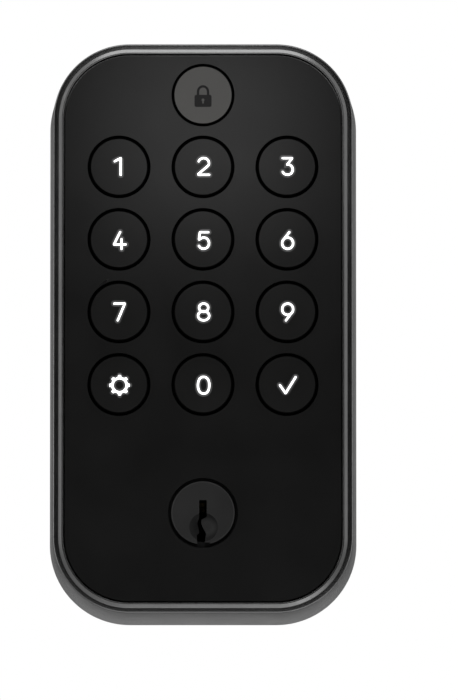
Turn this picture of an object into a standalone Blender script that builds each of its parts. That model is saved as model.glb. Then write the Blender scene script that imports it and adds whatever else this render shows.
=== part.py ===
"""Keypad smart lock: the outside unit of an electronic deadbolt.

The lock hangs on a door. X runs across it, Z up, and the door face is the plane y = 0:
everything at negative y stands in front of the door, everything at positive y goes into its bore.
The origin is the middle of the back plate. All sizes are in metres.
"""

import math

import bmesh
import bpy
from mathutils import Matrix

# ---- driving dimensions -------------------------------------------------------------------

GAP = 0.0003                     # between pieces that touch or rest on each other

BODY_WIDTH = 0.0708              # at the door, the widest outline
BODY_HEIGHT = 0.1332
BODY_CORNER = 0.0185
CORNER_STEPS = 6
FRONT_Y = -0.025                 # crest of the rim round the panel
REAR_EDGE_Y = -0.0012            # rear edge of the escutcheon, with the gasket behind it
DRAFT = 0.001                    # how far the side walls lean in from rear to front
SHOULDER_Y = -0.0245             # flat step outside the rim
WALL = 0.002
LEDGE_INSET = 0.0049             # inner edge of the ledge that the panel rests on
LEDGE_FRONT_Y = -0.0224
LEDGE_REAR_Y = -0.0204
POCKET_INSET = 0.0033            # wall of the pocket that the panel sits in

PANEL_INSET = 0.00375
PANEL_FRONT_Y = -0.0247
PANEL_REAR_Y = -0.0227

KEY_PITCH_X = 0.01928
KEY_PITCH_Z = 0.01674
KEY_TOP_ROW_Z = 0.0372
KEY_RADIUS = 0.00656
KEY_HOLE_RADIUS = 0.00718
KEY_FLANGE_RADIUS = 0.0076
KEY_FRONT_Y = -0.0249
KEY_EDGE = 0.0003
KEY_FLANGE_Y = (-0.0224, -0.0214)
KEY_HOLLOW_RADIUS = 0.0052
KEY_HOLLOW_Y = -0.0233
KEY_STEPS = 20
KEY_NAMES = (
    ("key_1", "key_2", "key_3"),
    ("key_4", "key_5", "key_6"),
    ("key_7", "key_8", "key_9"),
    ("key_settings", "key_0", "key_enter"),
)

LOCK_BUTTON_Z = 0.0538           # round metal button above the keys
LOCK_BUTTON_RADIUS = 0.00671

BOARD_HALF_WIDTH = 0.0275
BOARD_TOP_Z = 0.058
BOARD_BOTTOM_Z = -0.0214
BOARD_TOP_CORNER = 0.018
BOARD_Y = (-0.0184, -0.0168)
MAT_Y = (-0.0199, -0.0187)
MAT_BOSS_RADIUS = 0.0034
MAT_BOSS_Y = -0.0222             # where a fully pressed key stops
KEYPAD_SCREWS = ((-0.016, 0.0505), (0.016, 0.0505), (-0.00964, -0.00465), (0.00964, -0.00465))

CYLINDER_Z = -0.04265            # axis of the key cylinder, the tailpiece and the door's bore
CYLINDER_STEPS = 32
BORE_RADIUS = 0.00645
SHELL_RADIUS = 0.0089
SHELL_Y = (-0.0224, 0.0037)
TOWER_HALF_WIDTH = 0.00475       # the tower holds the pin chambers, above the plug
TOWER_HEIGHT = 0.019
TOWER_FRONT_Y = -0.0195
CHAMBER_RADIUS = 0.00155
CHAMBER_FIRST_Y = -0.0161
CHAMBER_PITCH = 0.00419
CHAMBERS = 5
PIN_RADIUS = 0.00144
PIN_STEPS = 12
KEY_PIN_TOP = 0.0061             # above the axis, just inside the shear line
KEY_PIN_LENGTHS = (0.0046, 0.0056, 0.0041, 0.0051, 0.0036)
DRIVER_PIN = (0.0065, 0.011)
SPRING = (0.0114, 0.0187)
SPRING_RADIUS = 0.00112
SPRING_WIRE = 0.00016

PLUG_HEAD_RADIUS = 0.00746
PLUG_HEAD_Y = (-0.0249, -0.0227)
PLUG_RADIUS = 0.00635
PLUG_THREAD_RADIUS = 0.0056
PLUG_SHOULDER_Y = 0.0037
PLUG_END_Y = 0.0062
SCOOP_CENTRE = (0.00015, -0.0033)
SCOOP_RADIUS = 0.00328
SCOOP_DEPTH = 0.0015

DRIVE_LUG = (0.0032, 0.005)      # inner and outer radius of the lug that turns the tailpiece
DRIVE_LUG_HALF_ANGLE = 12.0
DRIVE_LUG_END_Y = 0.008
LOST_MOTION = 90.0               # how far the tailpiece turns before the lug meets it, degrees
LOST_MOTION_PLAY = 4.0
HUB_RADIUS = 0.0052
HUB_Y = (0.0065, 0.008)
BLADE_WIDTH = 0.00635
BLADE_THICKNESS = 0.0024
TAILPIECE_END_Y = 0.058

EAR_DISTANCE = 0.0116            # from the cylinder's axis to its fixing screws
EAR_ANGLE = 50.0                 # below the horizontal
EAR_RADIUS = 0.0034
EAR_Y = (-0.0195, -0.0165)

POST_X = 0.0206
POST_RADIUS = 0.004
POST_BORE_RADIUS = 0.00165       # tapped M4
POST_BORE_DEPTH = 0.018
POST_STUD_RADIUS = 0.0018
POST_END_Y = 0.012

WEB_Y = (-0.0223, -0.0198)       # cast web behind the lower panel, which carries the cylinder
WEB_TOP_Z = -0.0235
WEB_INSET = 0.0045
WEB_HOLE_RADIUS = 0.0092

BACK_BASE_INSET = 0.0025
BACK_BASE_Y = (-0.0032, REAR_EDGE_Y)
BACK_PAD_INSET = 0.0035
BACK_BOSS_RADIUS = 0.0034
BACK_BOSS_OFFSET = 0.012         # from the body's corner centre, along the diagonal
BACK_BOSS_END_Y = -0.0035
BACK_CUTOUT_RADIUS = 0.0102
BACK_CUTOUT_TOP_Z = -0.0219
GASKET_INSETS = (0.0003, 0.0032)
GASKET_FRONT_Y = -0.0009

OUTLET_CENTRE = (-0.0145, -0.029)
OUTLET_SIZE = (0.0106, 0.0086)   # hole in the back plate for the cable to the inside unit
OUTLET_CORNER = 0.0015

# ---- scene and materials ------------------------------------------------------------------


def start_scene():
    """Clears the startup objects and makes the two collections."""
    for obj in list(bpy.data.objects):
        bpy.data.objects.remove(obj)
    collections = []
    for name in ("keypad_smart_lock", "cutters"):
        collection = bpy.data.collections.new(name)
        bpy.context.scene.collection.children.link(collection)
        collections.append(collection)
    return collections


PARTS, CUTTERS = start_scene()


def material(name, colour, roughness, metallic=0.0):
    made = bpy.data.materials.new(name)
    made.use_nodes = True
    shader = made.node_tree.nodes["Principled BSDF"]
    shader.inputs["Base Color"].default_value = (*colour, 1.0)
    shader.inputs["Roughness"].default_value = roughness
    shader.inputs["Metallic"].default_value = metallic
    return made


DARK_METAL = material("dark_metal", (0.1, 0.1, 0.1), 0.4, 0.8)
BLACK_PLASTIC = material("black_plastic", (0.012, 0.012, 0.012), 0.4)
KEY_PLASTIC = material("key_plastic", (0.016, 0.016, 0.016), 0.4)
BUTTON_METAL = material("button_metal", (0.085, 0.083, 0.08), 0.5, 0.3)
CYLINDER_METAL = material("cylinder_metal", (0.03, 0.03, 0.03), 0.35, 0.6)
BRASS = material("brass", (0.62, 0.45, 0.2), 0.35, 1.0)
STEEL = material("steel", (0.5, 0.5, 0.5), 0.35, 1.0)
SILICONE = material("silicone", (0.55, 0.55, 0.53), 0.6)
BOARD_GREEN = material("board_green", (0.01, 0.09, 0.04), 0.5)
CHIP_BLACK = material("chip_black", (0.02, 0.02, 0.02), 0.5)
RUBBER = material("rubber", (0.02, 0.02, 0.02), 0.8)
BACK_PLASTIC = material("back_plastic", (0.04, 0.04, 0.04), 0.6)

# ---- modelling tools ----------------------------------------------------------------------


def link(obj, finish=None):
    """A part has a finish. What has none is a cutter, which is never rendered."""
    (PARTS if finish else CUTTERS).objects.link(obj)
    if finish:
        obj.data.materials.clear()
        obj.data.materials.append(finish)
    else:
        obj.hide_render = True
        obj.display_type = "WIRE"
    return obj


def screwed(name, profile, steps, ring, finish):
    """The profile's (radius, height) points, top to bottom, turned about the object's Z."""
    mesh = bpy.data.meshes.new(name)
    points = [(radius, 0, height) for radius, height in profile]
    edges = [(i, i + 1) for i in range(len(points) - 1)]
    if ring:
        edges.append((len(points) - 1, 0))
    mesh.from_pydata(points, edges, [])
    obj = link(bpy.data.objects.new(name, mesh), finish)
    screw = obj.modifiers.new("turn", "SCREW")
    screw.axis = "Z"
    screw.steps = screw.render_steps = steps
    screw.use_merge_vertices = True
    screw.merge_threshold = 0.00001
    screw.use_smooth_shade = True
    return obj


def turned(name, profile, finish=None, x=0.0, z=0.0, steps=CYLINDER_STEPS, ring=False):
    """A turned piece on an axis along Y through (x, z). The profile holds (radius, y) points,
    front to rear along the outside; a ring's profile closes on itself clear of the axis."""
    obj = screwed(name, [(radius, -y) for radius, y in profile], steps, ring, finish)
    obj.rotation_euler = (math.pi / 2, 0, 0)
    obj.location = (x, 0, z)
    return obj


def upright(name, profile, y, finish=None):
    """A turned piece on a vertical axis through (0, y), from (radius, z) points."""
    obj = screwed(name, profile, PIN_STEPS, False, finish)
    obj.location = (0, y, 0)
    return obj


def flat_curve(name, outlines, thickness):
    """A 2D curve in its own XY plane, filled between its outlines, and this thick."""
    curve = bpy.data.curves.new(name, "CURVE")
    curve.dimensions = "2D"
    curve.fill_mode = "BOTH"
    curve.extrude = thickness / 2
    for outline in outlines:
        spline = curve.splines.new("POLY")
        spline.points.add(len(outline) - 1)
        for point, (u, v) in zip(spline.points, outline):
            point.co = (u, v, 0, 1)
        spline.use_cyclic_u = True
    return curve


def mesh_of_curve(name, curve, finish, matrix):
    """The curve as a mesh with its caps welded, so that Booleans can use it."""
    source = bpy.data.objects.new(name + "_curve", curve)
    CUTTERS.objects.link(source)
    bpy.context.view_layer.update()
    evaluated = source.evaluated_get(bpy.context.evaluated_depsgraph_get())
    mesh = bpy.data.meshes.new_from_object(evaluated)
    bpy.data.objects.remove(source)
    work = bmesh.new()
    work.from_mesh(mesh)
    bmesh.ops.remove_doubles(work, verts=work.verts, dist=0.000001)
    bmesh.ops.recalc_face_normals(work, faces=work.faces)
    work.to_mesh(mesh)
    work.free()
    mesh.name = name
    obj = link(bpy.data.objects.new(name, mesh), finish)
    obj.matrix_world = matrix
    return obj


def plate(name, outlines, y_range, finish=None):
    """A flat piece in the XZ plane between two y values. Outlines after the first are holes."""
    front, rear = y_range
    stand = Matrix.Translation((0, (front + rear) / 2, 0)) @ Matrix.Rotation(math.pi / 2, 4, "X")
    return mesh_of_curve(name, flat_curve(name, outlines, rear - front), finish, stand)


def swept(name, path, profile, finish):
    """The closed profile of (inset, y) points carried round the closed path of (x, z) points."""
    section = bpy.data.curves.new(name + "_section", "CURVE")
    section.dimensions = "2D"
    spline = section.splines.new("POLY")
    spline.points.add(len(profile) - 1)
    for point, (inset, y) in zip(spline.points, profile):
        point.co = (inset, -y, 0, 1)
    spline.use_cyclic_u = True
    section_object = bpy.data.objects.new(name + "_section", section)
    CUTTERS.objects.link(section_object)
    curve = flat_curve(name, [path], 0)
    curve.fill_mode = "NONE"
    curve.bevel_mode = "OBJECT"
    curve.bevel_object = section_object
    obj = mesh_of_curve(name, curve, finish, Matrix.Rotation(math.pi / 2, 4, "X"))
    bpy.data.objects.remove(section_object)
    return obj


def block(name, low, high, finish=None, bevel=0.0):
    """A box between two corners, its edges rounded off by the bevel."""
    mesh = bpy.data.meshes.new(name)
    work = bmesh.new()
    bmesh.ops.create_cube(work, size=1.0)
    size = [b - a for a, b in zip(low, high)]
    bmesh.ops.scale(work, vec=size, verts=work.verts)
    work.to_mesh(mesh)
    work.free()
    obj = link(bpy.data.objects.new(name, mesh), finish)
    obj.location = [(a + b) / 2 for a, b in zip(low, high)]
    if bevel:
        edge = obj.modifiers.new("edge", "BEVEL")
        edge.width = bevel
        edge.segments = 1
    return obj


def drill(name, radius, x, z, y_range, steps=16):
    """A cutter or boss along Y."""
    front, rear = y_range
    profile = [(0, front), (radius, front), (radius, rear), (0, rear)]
    return turned(name, profile, x=x, z=z, steps=steps)


def boolean(target, other, operation):
    modifier = target.modifiers.new(other.name, "BOOLEAN")
    modifier.operation = operation
    modifier.solver = "EXACT"
    modifier.object = other
    return target


def cut(target, *cutters):
    for cutter in cutters:
        boolean(target, cutter, "DIFFERENCE")


def fuse(target, *others):
    for other in others:
        boolean(target, other, "UNION")


# ---- outlines -----------------------------------------------------------------------------


def arc(cx, cy, radius, start, end, steps):
    """Points on an arc, from one angle to another in degrees, both ends included."""
    angles = [math.radians(start + (end - start) * k / steps) for k in range(steps + 1)]
    return [(cx + radius * math.cos(a), cy + radius * math.sin(a)) for a in angles]


def circle(cx, cy, radius, steps, start=0):
    return arc(cx, cy, radius, start, start + 360, steps)[:-1]


def rounded_rectangle(width, height, radius, cx=0.0, cy=0.0, steps=CORNER_STEPS):
    points = []
    for turn, (side, end) in enumerate(((1, 1), (-1, 1), (-1, -1), (1, -1))):
        centre_x = cx + side * (width / 2 - radius)
        centre_y = cy + end * (height / 2 - radius)
        points += arc(centre_x, centre_y, radius, 90 * turn, 90 * turn + 90, steps)
    return points


def body_outline(inset):
    """The body's outline at the door, moved inwards."""
    size = (BODY_WIDTH - 2 * inset, BODY_HEIGHT - 2 * inset)
    return rounded_rectangle(*size, BODY_CORNER - inset)


def key_places():
    """(name, x, z) of the twelve keys, row by row from the top."""
    for row, names in enumerate(KEY_NAMES):
        for column, name in enumerate(names):
            yield name, (column - 1) * KEY_PITCH_X, KEY_TOP_ROW_Z - row * KEY_PITCH_Z


def button_places():
    """The twelve keys and the lock button above them."""
    yield from key_places()
    yield "lock_button", 0, LOCK_BUTTON_Z


def back_screw_places():
    across = BODY_WIDTH / 2 - BODY_CORNER + BACK_BOSS_OFFSET * math.sqrt(0.5)
    up = BODY_HEIGHT / 2 - BODY_CORNER + BACK_BOSS_OFFSET * math.sqrt(0.5)
    return [(side * across, end * up) for end in (1, -1) for side in (-1, 1)]


def ear_places():
    angle = math.radians(EAR_ANGLE)
    across, down = EAR_DISTANCE * math.cos(angle), EAR_DISTANCE * math.sin(angle)
    return [(side * across, CYLINDER_Z - down) for side in (-1, 1)]


# ---- casing -------------------------------------------------------------------------------


def make_escutcheon():
    """Die-cast frame: drafted side walls, flat shoulder, sloping rim, and the ledge and lower web
    behind the panel, with bosses for the back plate's screws."""
    profile = [
        (0.0, REAR_EDGE_Y),
        (DRAFT, SHOULDER_Y + 0.0002),
        (DRAFT + 0.0002, SHOULDER_Y),
        (0.0021, SHOULDER_Y),
        (0.00305, FRONT_Y),
        (POCKET_INSET, FRONT_Y),
        (POCKET_INSET, LEDGE_FRONT_Y),
        (LEDGE_INSET, LEDGE_FRONT_Y),
        (LEDGE_INSET, LEDGE_REAR_Y),
        (DRAFT + WALL + 0.0002, LEDGE_REAR_Y),
        (WALL, REAR_EDGE_Y),
    ]
    frame = swept("escutcheon", body_outline(0), profile, DARK_METAL)
    half = BODY_WIDTH / 2 - WEB_INSET
    lower = body_outline(WEB_INSET)[2 * (CORNER_STEPS + 1):]
    web = plate("web", [lower + [(half, WEB_TOP_Z), (-half, WEB_TOP_Z)]], WEB_Y)
    fuse(frame, web)
    for i, (x, z) in enumerate(back_screw_places()):
        overlap_y = LEDGE_REAR_Y - 0.001
        fuse(frame, drill(f"boss_{i}", BACK_BOSS_RADIUS, x, z, (overlap_y, BACK_BOSS_END_Y)))
        cut(frame, drill(f"boss_hole_{i}", 0.0015, x, z, (-0.0125, 0), 12))
    through = (-0.03, -0.01)
    cut(frame, drill("web_hole", WEB_HOLE_RADIUS, 0, CYLINDER_Z, through, CYLINDER_STEPS))
    for i, (x, z) in enumerate(ear_places()):
        cut(frame, drill(f"web_screw_hole_{i}", 0.0018, x, z, through, 12))
    for i, side in enumerate((-1, 1)):
        stud_hole = POST_STUD_RADIUS + GAP
        cut(frame, drill(f"stud_hole_{i}", stud_hole, side * POST_X, CYLINDER_Z, through, 12))
    return frame


def make_face_panel():
    """Black moulded panel with round holes for the buttons and the plug, and four screw bosses
    behind it."""
    holes = []
    for i, (_, x, z) in enumerate(button_places()):
        # each hole starts at its own angle, so that no row of corners lies on one line
        holes.append(circle(x, z, KEY_HOLE_RADIUS, KEY_STEPS, 3 * i))
    holes.append(circle(0, CYLINDER_Z, PLUG_HEAD_RADIUS + 0.00057, CYLINDER_STEPS))
    outlines = [body_outline(PANEL_INSET), *holes]
    panel = plate("face_panel", outlines, (PANEL_FRONT_Y, PANEL_REAR_Y), BLACK_PLASTIC)
    for i, (x, z) in enumerate(KEYPAD_SCREWS):
        start, end = PANEL_REAR_Y - 0.0005, BOARD_Y[0] - GAP
        outer, pilot = 0.0024, 0.0013
        boss = [(outer, start), (outer, end), (pilot, end), (pilot, start)]
        fuse(panel, turned(f"panel_boss_{i}", boss, x=x, z=z, steps=12, ring=True))
    return panel


def make_back_plate():
    """Moulded plate that closes the casing: a base inside the walls and a pad that meets the
    door, cut out for the cylinder, the two posts, the cable and four flush screws."""
    base = plate("back_plate", [body_outline(BACK_BASE_INSET)], BACK_BASE_Y, BACK_PLASTIC)
    pad = plate("back_pad", [body_outline(BACK_PAD_INSET)], (BACK_BASE_Y[1] - 0.0005, 0))
    fuse(base, pad)
    through = (-0.01, 0.005)
    arch = math.degrees(math.asin((TOWER_HALF_WIDTH + 0.0011) / BACK_CUTOUT_RADIUS))
    keyhole = arc(0, CYLINDER_Z, BACK_CUTOUT_RADIUS, 90 + arch, 450 - arch, CYLINDER_STEPS)
    top = [(side * (TOWER_HALF_WIDTH + 0.0011), BACK_CUTOUT_TOP_Z) for side in (1, -1)]
    cut(base, plate("cylinder_cutout", [keyhole + top], through))
    outlet = rounded_rectangle(*OUTLET_SIZE, OUTLET_CORNER, *OUTLET_CENTRE, steps=3)
    cut(base, plate("outlet_cutout", [outlet], through))
    for i, side in enumerate((-1, 1)):
        cut(base, drill(f"post_hole_{i}", POST_RADIUS + 0.0006, side * POST_X, CYLINDER_Z, through))
    for i, (x, z) in enumerate(back_screw_places()):
        sink = [(0, -0.005), (0.0015, -0.005), (0.0015, -0.0014), (0.0029, 0), (0.0029, 0.001)]
        cut(base, turned(f"countersink_{i}", sink + [(0, 0.001)], x=x, z=z, steps=16))
    return base


def make_gasket():
    """Flat rubber seal between the casing and the door."""
    outer, inner = (body_outline(inset) for inset in GASKET_INSETS)
    return plate("door_gasket", [outer, inner], (GASKET_FRONT_Y, 0), RUBBER)


def make_grommet():
    """Rubber lining of the cable's hole, with a lip behind the back plate's inner face."""
    width, height = OUTLET_SIZE
    grow = 2 * GAP
    inner = rounded_rectangle(0.0072, 0.0052, 0.0012, *OUTLET_CENTRE, steps=3)
    sleeve = rounded_rectangle(width - grow, height - grow, OUTLET_CORNER, *OUTLET_CENTRE, steps=3)
    lip = rounded_rectangle(width + 0.0024, height + 0.0024, 0.0024, *OUTLET_CENTRE, steps=3)
    lip_rear = BACK_BASE_Y[0] - GAP
    grommet = plate("cable_grommet", [lip, inner], (lip_rear - 0.001, lip_rear), RUBBER)
    fuse(grommet, plate("grommet_sleeve", [sleeve, inner], (lip_rear - 0.0005, -0.0004)))
    return grommet


# ---- keypad -------------------------------------------------------------------------------


def make_buttons():
    """Thirteen hollow buttons, each held behind the panel by its flange."""
    flange_front, flange_rear = KEY_FLANGE_Y
    for name, x, z in button_places():
        is_key = name != "lock_button"
        radius = KEY_RADIUS if is_key else LOCK_BUTTON_RADIUS
        profile = [
            (0, KEY_FRONT_Y),
            (radius - KEY_EDGE, KEY_FRONT_Y),
            (radius, KEY_FRONT_Y + KEY_EDGE),
            (radius, flange_front),
            (KEY_FLANGE_RADIUS, flange_front),
            (KEY_FLANGE_RADIUS, flange_rear),
            (KEY_HOLLOW_RADIUS, flange_rear),
            (KEY_HOLLOW_RADIUS, KEY_HOLLOW_Y),
            (0, KEY_HOLLOW_Y),
        ]
        turned(name, profile, KEY_PLASTIC if is_key else BUTTON_METAL, x, z, KEY_STEPS)


def board_outline(inset=0.0):
    """Outline of the circuit board: square below, large corners above."""
    half, top, bottom = BOARD_HALF_WIDTH - inset, BOARD_TOP_Z - inset, BOARD_BOTTOM_Z + inset
    radius = BOARD_TOP_CORNER
    points = arc(half - radius, top - radius, radius, 0, 90, 6)
    points += arc(radius - half, top - radius, radius, 90, 180, 6)
    return points + [(-half, bottom), (half, bottom)]


def make_keymat():
    """Silicone sheet with a boss that reaches up into each button."""
    holes = [circle(x, z, 0.0028, 12) for x, z in KEYPAD_SCREWS]
    mat = plate("silicone_keymat", [board_outline(), *holes], MAT_Y, SILICONE)
    for name, x, z in button_places():
        reach = (MAT_BOSS_Y, MAT_Y[0] + 0.0005)
        fuse(mat, drill(f"boss_{name}", MAT_BOSS_RADIUS, x, z, reach, 12))
    return mat


def make_board():
    """Circuit board and what stands on its rear."""
    holes = [circle(x, z, 0.0014, 12) for x, z in KEYPAD_SCREWS]
    plate("circuit_board", [board_outline(), *holes], BOARD_Y, BOARD_GREEN)
    rear = BOARD_Y[1] + GAP

    def component(name, x, z, width, height, depth, finish, bevel=0.0002):
        low = (x - width / 2, rear, z - height / 2)
        high = (x + width / 2, rear + depth, z + height / 2)
        block(name, low, high, finish, bevel)

    component("controller_chip", -0.009, 0.012, 0.009, 0.009, 0.0012, CHIP_BLACK)
    component("radio_module", 0.011, 0.034, 0.013, 0.017, 0.0022, STEEL)
    component("cable_socket", -0.0145, -0.0155, 0.012, 0.006, 0.0055, SILICONE)
    buzzer = [(0, rear), (0.005, rear), (0.005, rear + 0.003), (0.0047, rear + 0.0033)]
    hole = [(0.001, rear + 0.0033), (0.001, rear + 0.002), (0, rear + 0.002)]
    turned("buzzer", buzzer + hole, CHIP_BLACK, 0.0155, 0.006, 20)


# ---- key cylinder -------------------------------------------------------------------------


def chamber_places():
    return [CHAMBER_FIRST_Y + i * CHAMBER_PITCH for i in range(CHAMBERS)]


def chamber(name, y, low, high):
    """Cutter for one pin chamber, between two heights above the axis."""
    top, bottom = CYLINDER_Z + high, CYLINDER_Z + low
    profile = [(0, top), (CHAMBER_RADIUS, top), (CHAMBER_RADIUS, bottom), (0, bottom)]
    return upright(name, profile, y)


def make_cylinder_body():
    """Shell that the plug turns in, with the tower of pin chambers and two fixing ears."""
    front, rear = SHELL_Y
    tube = [(0, front), (SHELL_RADIUS, front), (SHELL_RADIUS, rear), (0, rear)]
    body = turned("cylinder_body", tube, CYLINDER_METAL, z=CYLINDER_Z)
    low = (-TOWER_HALF_WIDTH, TOWER_FRONT_Y, CYLINDER_Z)
    high = (TOWER_HALF_WIDTH, rear - 0.0001, CYLINDER_Z + TOWER_HEIGHT)
    fuse(body, block("tower", low, high))
    for i, (x, z) in enumerate(ear_places()):
        fuse(body, drill(f"ear_{i}", EAR_RADIUS, x, z, EAR_Y, 16))
        cut(body, drill(f"ear_hole_{i}", 0.0018, x, z, (-0.03, 0), 12))
    for i, y in enumerate(chamber_places()):
        cut(body, chamber(f"chamber_{i}", y, 0.004, TOWER_HEIGHT + 0.001))
    cut(body, drill("plug_bore", BORE_RADIUS, 0, CYLINDER_Z, (-0.03, 0.01), CYLINDER_STEPS))
    return body


def keyway_outline():
    """Keyway seen from the front, about the plug's axis: a straight slot above, a warded neck
    and a wide foot that opens at the plug's edge."""
    half_slot = 0.00086
    right = [
        (half_slot, 0.00294),
        (half_slot, -0.00085),
        (-0.0004, -0.0015),
        (-0.0004, -0.0024),
        (0.0007, -0.0047),
        (0.0004, -0.0068),
        (0.0016, -0.0068),
        (0.0016, -0.0085),
    ]
    left = [
        (-0.0013, -0.0085),
        (-0.0014, -0.0051),
        (-0.00085, -0.0045),
        (-0.0013, -0.0022),
        (-half_slot, -0.00105),
        (-half_slot, 0.00294),
    ]
    return [(x, CYLINDER_Z + z) for x, z in right + left]


def sector(name, radii, start, end, y_range, steps=6):
    """A ring segment between two angles, measured from +Z towards +X, seen from the front."""
    inner, outer = radii
    points = arc(0, 0, outer, start, end, steps) + arc(0, 0, inner, end, start, steps)
    turned_points = [(v, CYLINDER_Z + u) for u, v in points]
    return plate(name, [turned_points], y_range)


def make_plug():
    """Plug: a wide chamfered head, the barrel with its keyway, chambers and key scoop, and a
    threaded end with the lug that drives the tailpiece."""
    head_front, head_rear = PLUG_HEAD_Y
    chamfer = 0.0006
    profile = [
        (0, head_front),
        (PLUG_HEAD_RADIUS - chamfer, head_front),
        (PLUG_HEAD_RADIUS, head_front + chamfer),
        (PLUG_HEAD_RADIUS, head_rear),
        (PLUG_RADIUS, head_rear),
        (PLUG_RADIUS, PLUG_SHOULDER_Y),
        (PLUG_THREAD_RADIUS, PLUG_SHOULDER_Y),
        (PLUG_THREAD_RADIUS, PLUG_END_Y),
        (0, PLUG_END_Y),
    ]
    plug = turned("cylinder_plug", profile, CYLINDER_METAL, z=CYLINDER_Z)
    lug_y = (PLUG_END_Y - 0.0005, DRIVE_LUG_END_Y)
    half = DRIVE_LUG_HALF_ANGLE
    fuse(plug, sector("drive_lug", DRIVE_LUG, -half, half, lug_y, 3))
    cut(plug, plate("keyway", [keyway_outline()], (head_front - 0.001, 0.0028)))
    for i, y in enumerate(chamber_places()):
        cut(plug, chamber(f"plug_chamber_{i}", y, 0, 0.008))
    ball_radius = (SCOOP_RADIUS**2 + SCOOP_DEPTH**2) / (2 * SCOOP_DEPTH)
    mesh = bpy.data.meshes.new("scoop")
    work = bmesh.new()
    bmesh.ops.create_uvsphere(work, u_segments=24, v_segments=16, radius=ball_radius)
    work.to_mesh(mesh)
    work.free()
    scoop = link(bpy.data.objects.new("scoop", mesh))
    scoop.rotation_euler = (math.pi / 2, 0, 0)
    centre_y = head_front + SCOOP_DEPTH - ball_radius
    scoop.location = (SCOOP_CENTRE[0], centre_y, CYLINDER_Z + SCOOP_CENTRE[1])
    cut(plug, scoop)
    return plug


def make_pins():
    """Five pin stacks, at the height where the key has lifted them to the shear line."""
    tip = PIN_RADIUS * 0.5
    for i, y in enumerate(chamber_places()):
        number = i + 1
        top = CYLINDER_Z + KEY_PIN_TOP
        bottom = top - KEY_PIN_LENGTHS[i]
        profile = [(0, top), (PIN_RADIUS, top), (PIN_RADIUS, bottom + tip), (tip, bottom)]
        upright(f"key_pin_{number}", profile + [(0, bottom)], y, BRASS)
        low, high = (CYLINDER_Z + level for level in DRIVER_PIN)
        profile = [(0, high), (PIN_RADIUS, high), (PIN_RADIUS, low), (0, low)]
        upright(f"driver_pin_{number}", profile, y, BRASS)
        make_spring(f"pin_spring_{number}", y)


def make_spring(name, y):
    """Coil spring of round wire over a driver pin."""
    turns, per_turn = 5, 8
    low, high = (CYLINDER_Z + level for level in SPRING)
    curve = bpy.data.curves.new(name, "CURVE")
    curve.dimensions = "3D"
    curve.bevel_depth = SPRING_WIRE
    curve.bevel_resolution = 0
    curve.use_fill_caps = True
    spline = curve.splines.new("POLY")
    count = turns * per_turn
    spline.points.add(count)
    for k, point in enumerate(spline.points):
        angle = 2 * math.pi * k / per_turn
        height = low + SPRING_WIRE + (high - low - 2 * SPRING_WIRE) * k / count
        place = (SPRING_RADIUS * math.cos(angle), SPRING_RADIUS * math.sin(angle), height)
        point.co = (*place, 1)
    spring = link(bpy.data.objects.new(name, curve), STEEL)
    spring.location = (0, y, 0)
    return spring


def make_cylinder_fittings():
    """Cover over the spring chambers, cap on the plug's thread, and the tailpiece with its
    slotted hub, which the plug's lug turns only after a quarter turn of free play."""
    top = CYLINDER_Z + TOWER_HEIGHT + GAP
    low = (-TOWER_HALF_WIDTH, TOWER_FRONT_Y, top)
    high = (TOWER_HALF_WIDTH, SHELL_Y[1], top + 0.0008)
    block("pin_chamber_cover", low, high, BRASS)

    front, rear = SHELL_Y[1] + GAP, 0.0096
    inner, ceiling = PLUG_THREAD_RADIUS + GAP, HUB_Y[1] + GAP
    cap = [(0.0076, front), (0.0076, rear), (0.0039, rear), (0.0039, ceiling)]
    cap += [(inner, ceiling), (inner, front)]
    turned("plug_cap", cap, BRASS, z=CYLINDER_Z, steps=24, ring=True)

    hub = [(0, HUB_Y[0]), (HUB_RADIUS, HUB_Y[0]), (HUB_RADIUS, HUB_Y[1]), (0, HUB_Y[1])]
    tail = turned("tailpiece", hub, STEEL, z=CYLINDER_Z, steps=24)
    low = (-BLADE_THICKNESS / 2, HUB_Y[1] - 0.0007, CYLINDER_Z - BLADE_WIDTH / 2)
    high = (BLADE_THICKNESS / 2, TAILPIECE_END_Y, CYLINDER_Z + BLADE_WIDTH / 2)
    fuse(tail, block("blade", low, high, bevel=0.0003))
    half = DRIVE_LUG_HALF_ANGLE + LOST_MOTION_PLAY
    notch_radii = (DRIVE_LUG[0] - GAP, HUB_RADIUS + 0.001)
    notch_y = (HUB_Y[0] - 0.001, HUB_Y[1] + 0.0005)
    notch = sector("hub_notch", notch_radii, -half, half + LOST_MOTION, notch_y, 12)
    cut(tail, notch)
    return tail


def make_posts():
    """Two threaded posts that the inside unit's long bolts pull on."""
    stud_front, shoulder = WEB_Y[0] + 0.0009, WEB_Y[1] + GAP
    profile = [
        (0, stud_front),
        (POST_STUD_RADIUS, stud_front),
        (POST_STUD_RADIUS, shoulder),
        (POST_RADIUS, shoulder),
        (POST_RADIUS, POST_END_Y),
        (POST_BORE_RADIUS, POST_END_Y),
        (POST_BORE_RADIUS, POST_END_Y - POST_BORE_DEPTH),
        (0, POST_END_Y - POST_BORE_DEPTH),
    ]
    for side, name in ((-1, "left"), (1, "right")):
        turned(f"through_bolt_post_{name}", profile, STEEL, side * POST_X, CYLINDER_Z, 20)


# ---- screws -------------------------------------------------------------------------------


def cross_recess(name, x, z, size, y_range):
    """Cutter for a cross recess: two crossed slots, fused."""
    front, rear = y_range
    half, arm = size * 0.16, size * 0.5
    upright = block(name, (x - half, front, z - arm), (x + half, rear, z + arm))
    level = block(name + "_bar", (x - arm, front + 0.0001, z - half), (x + arm, rear + 0.0001, z + half))
    fuse(upright, level)
    return upright


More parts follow.
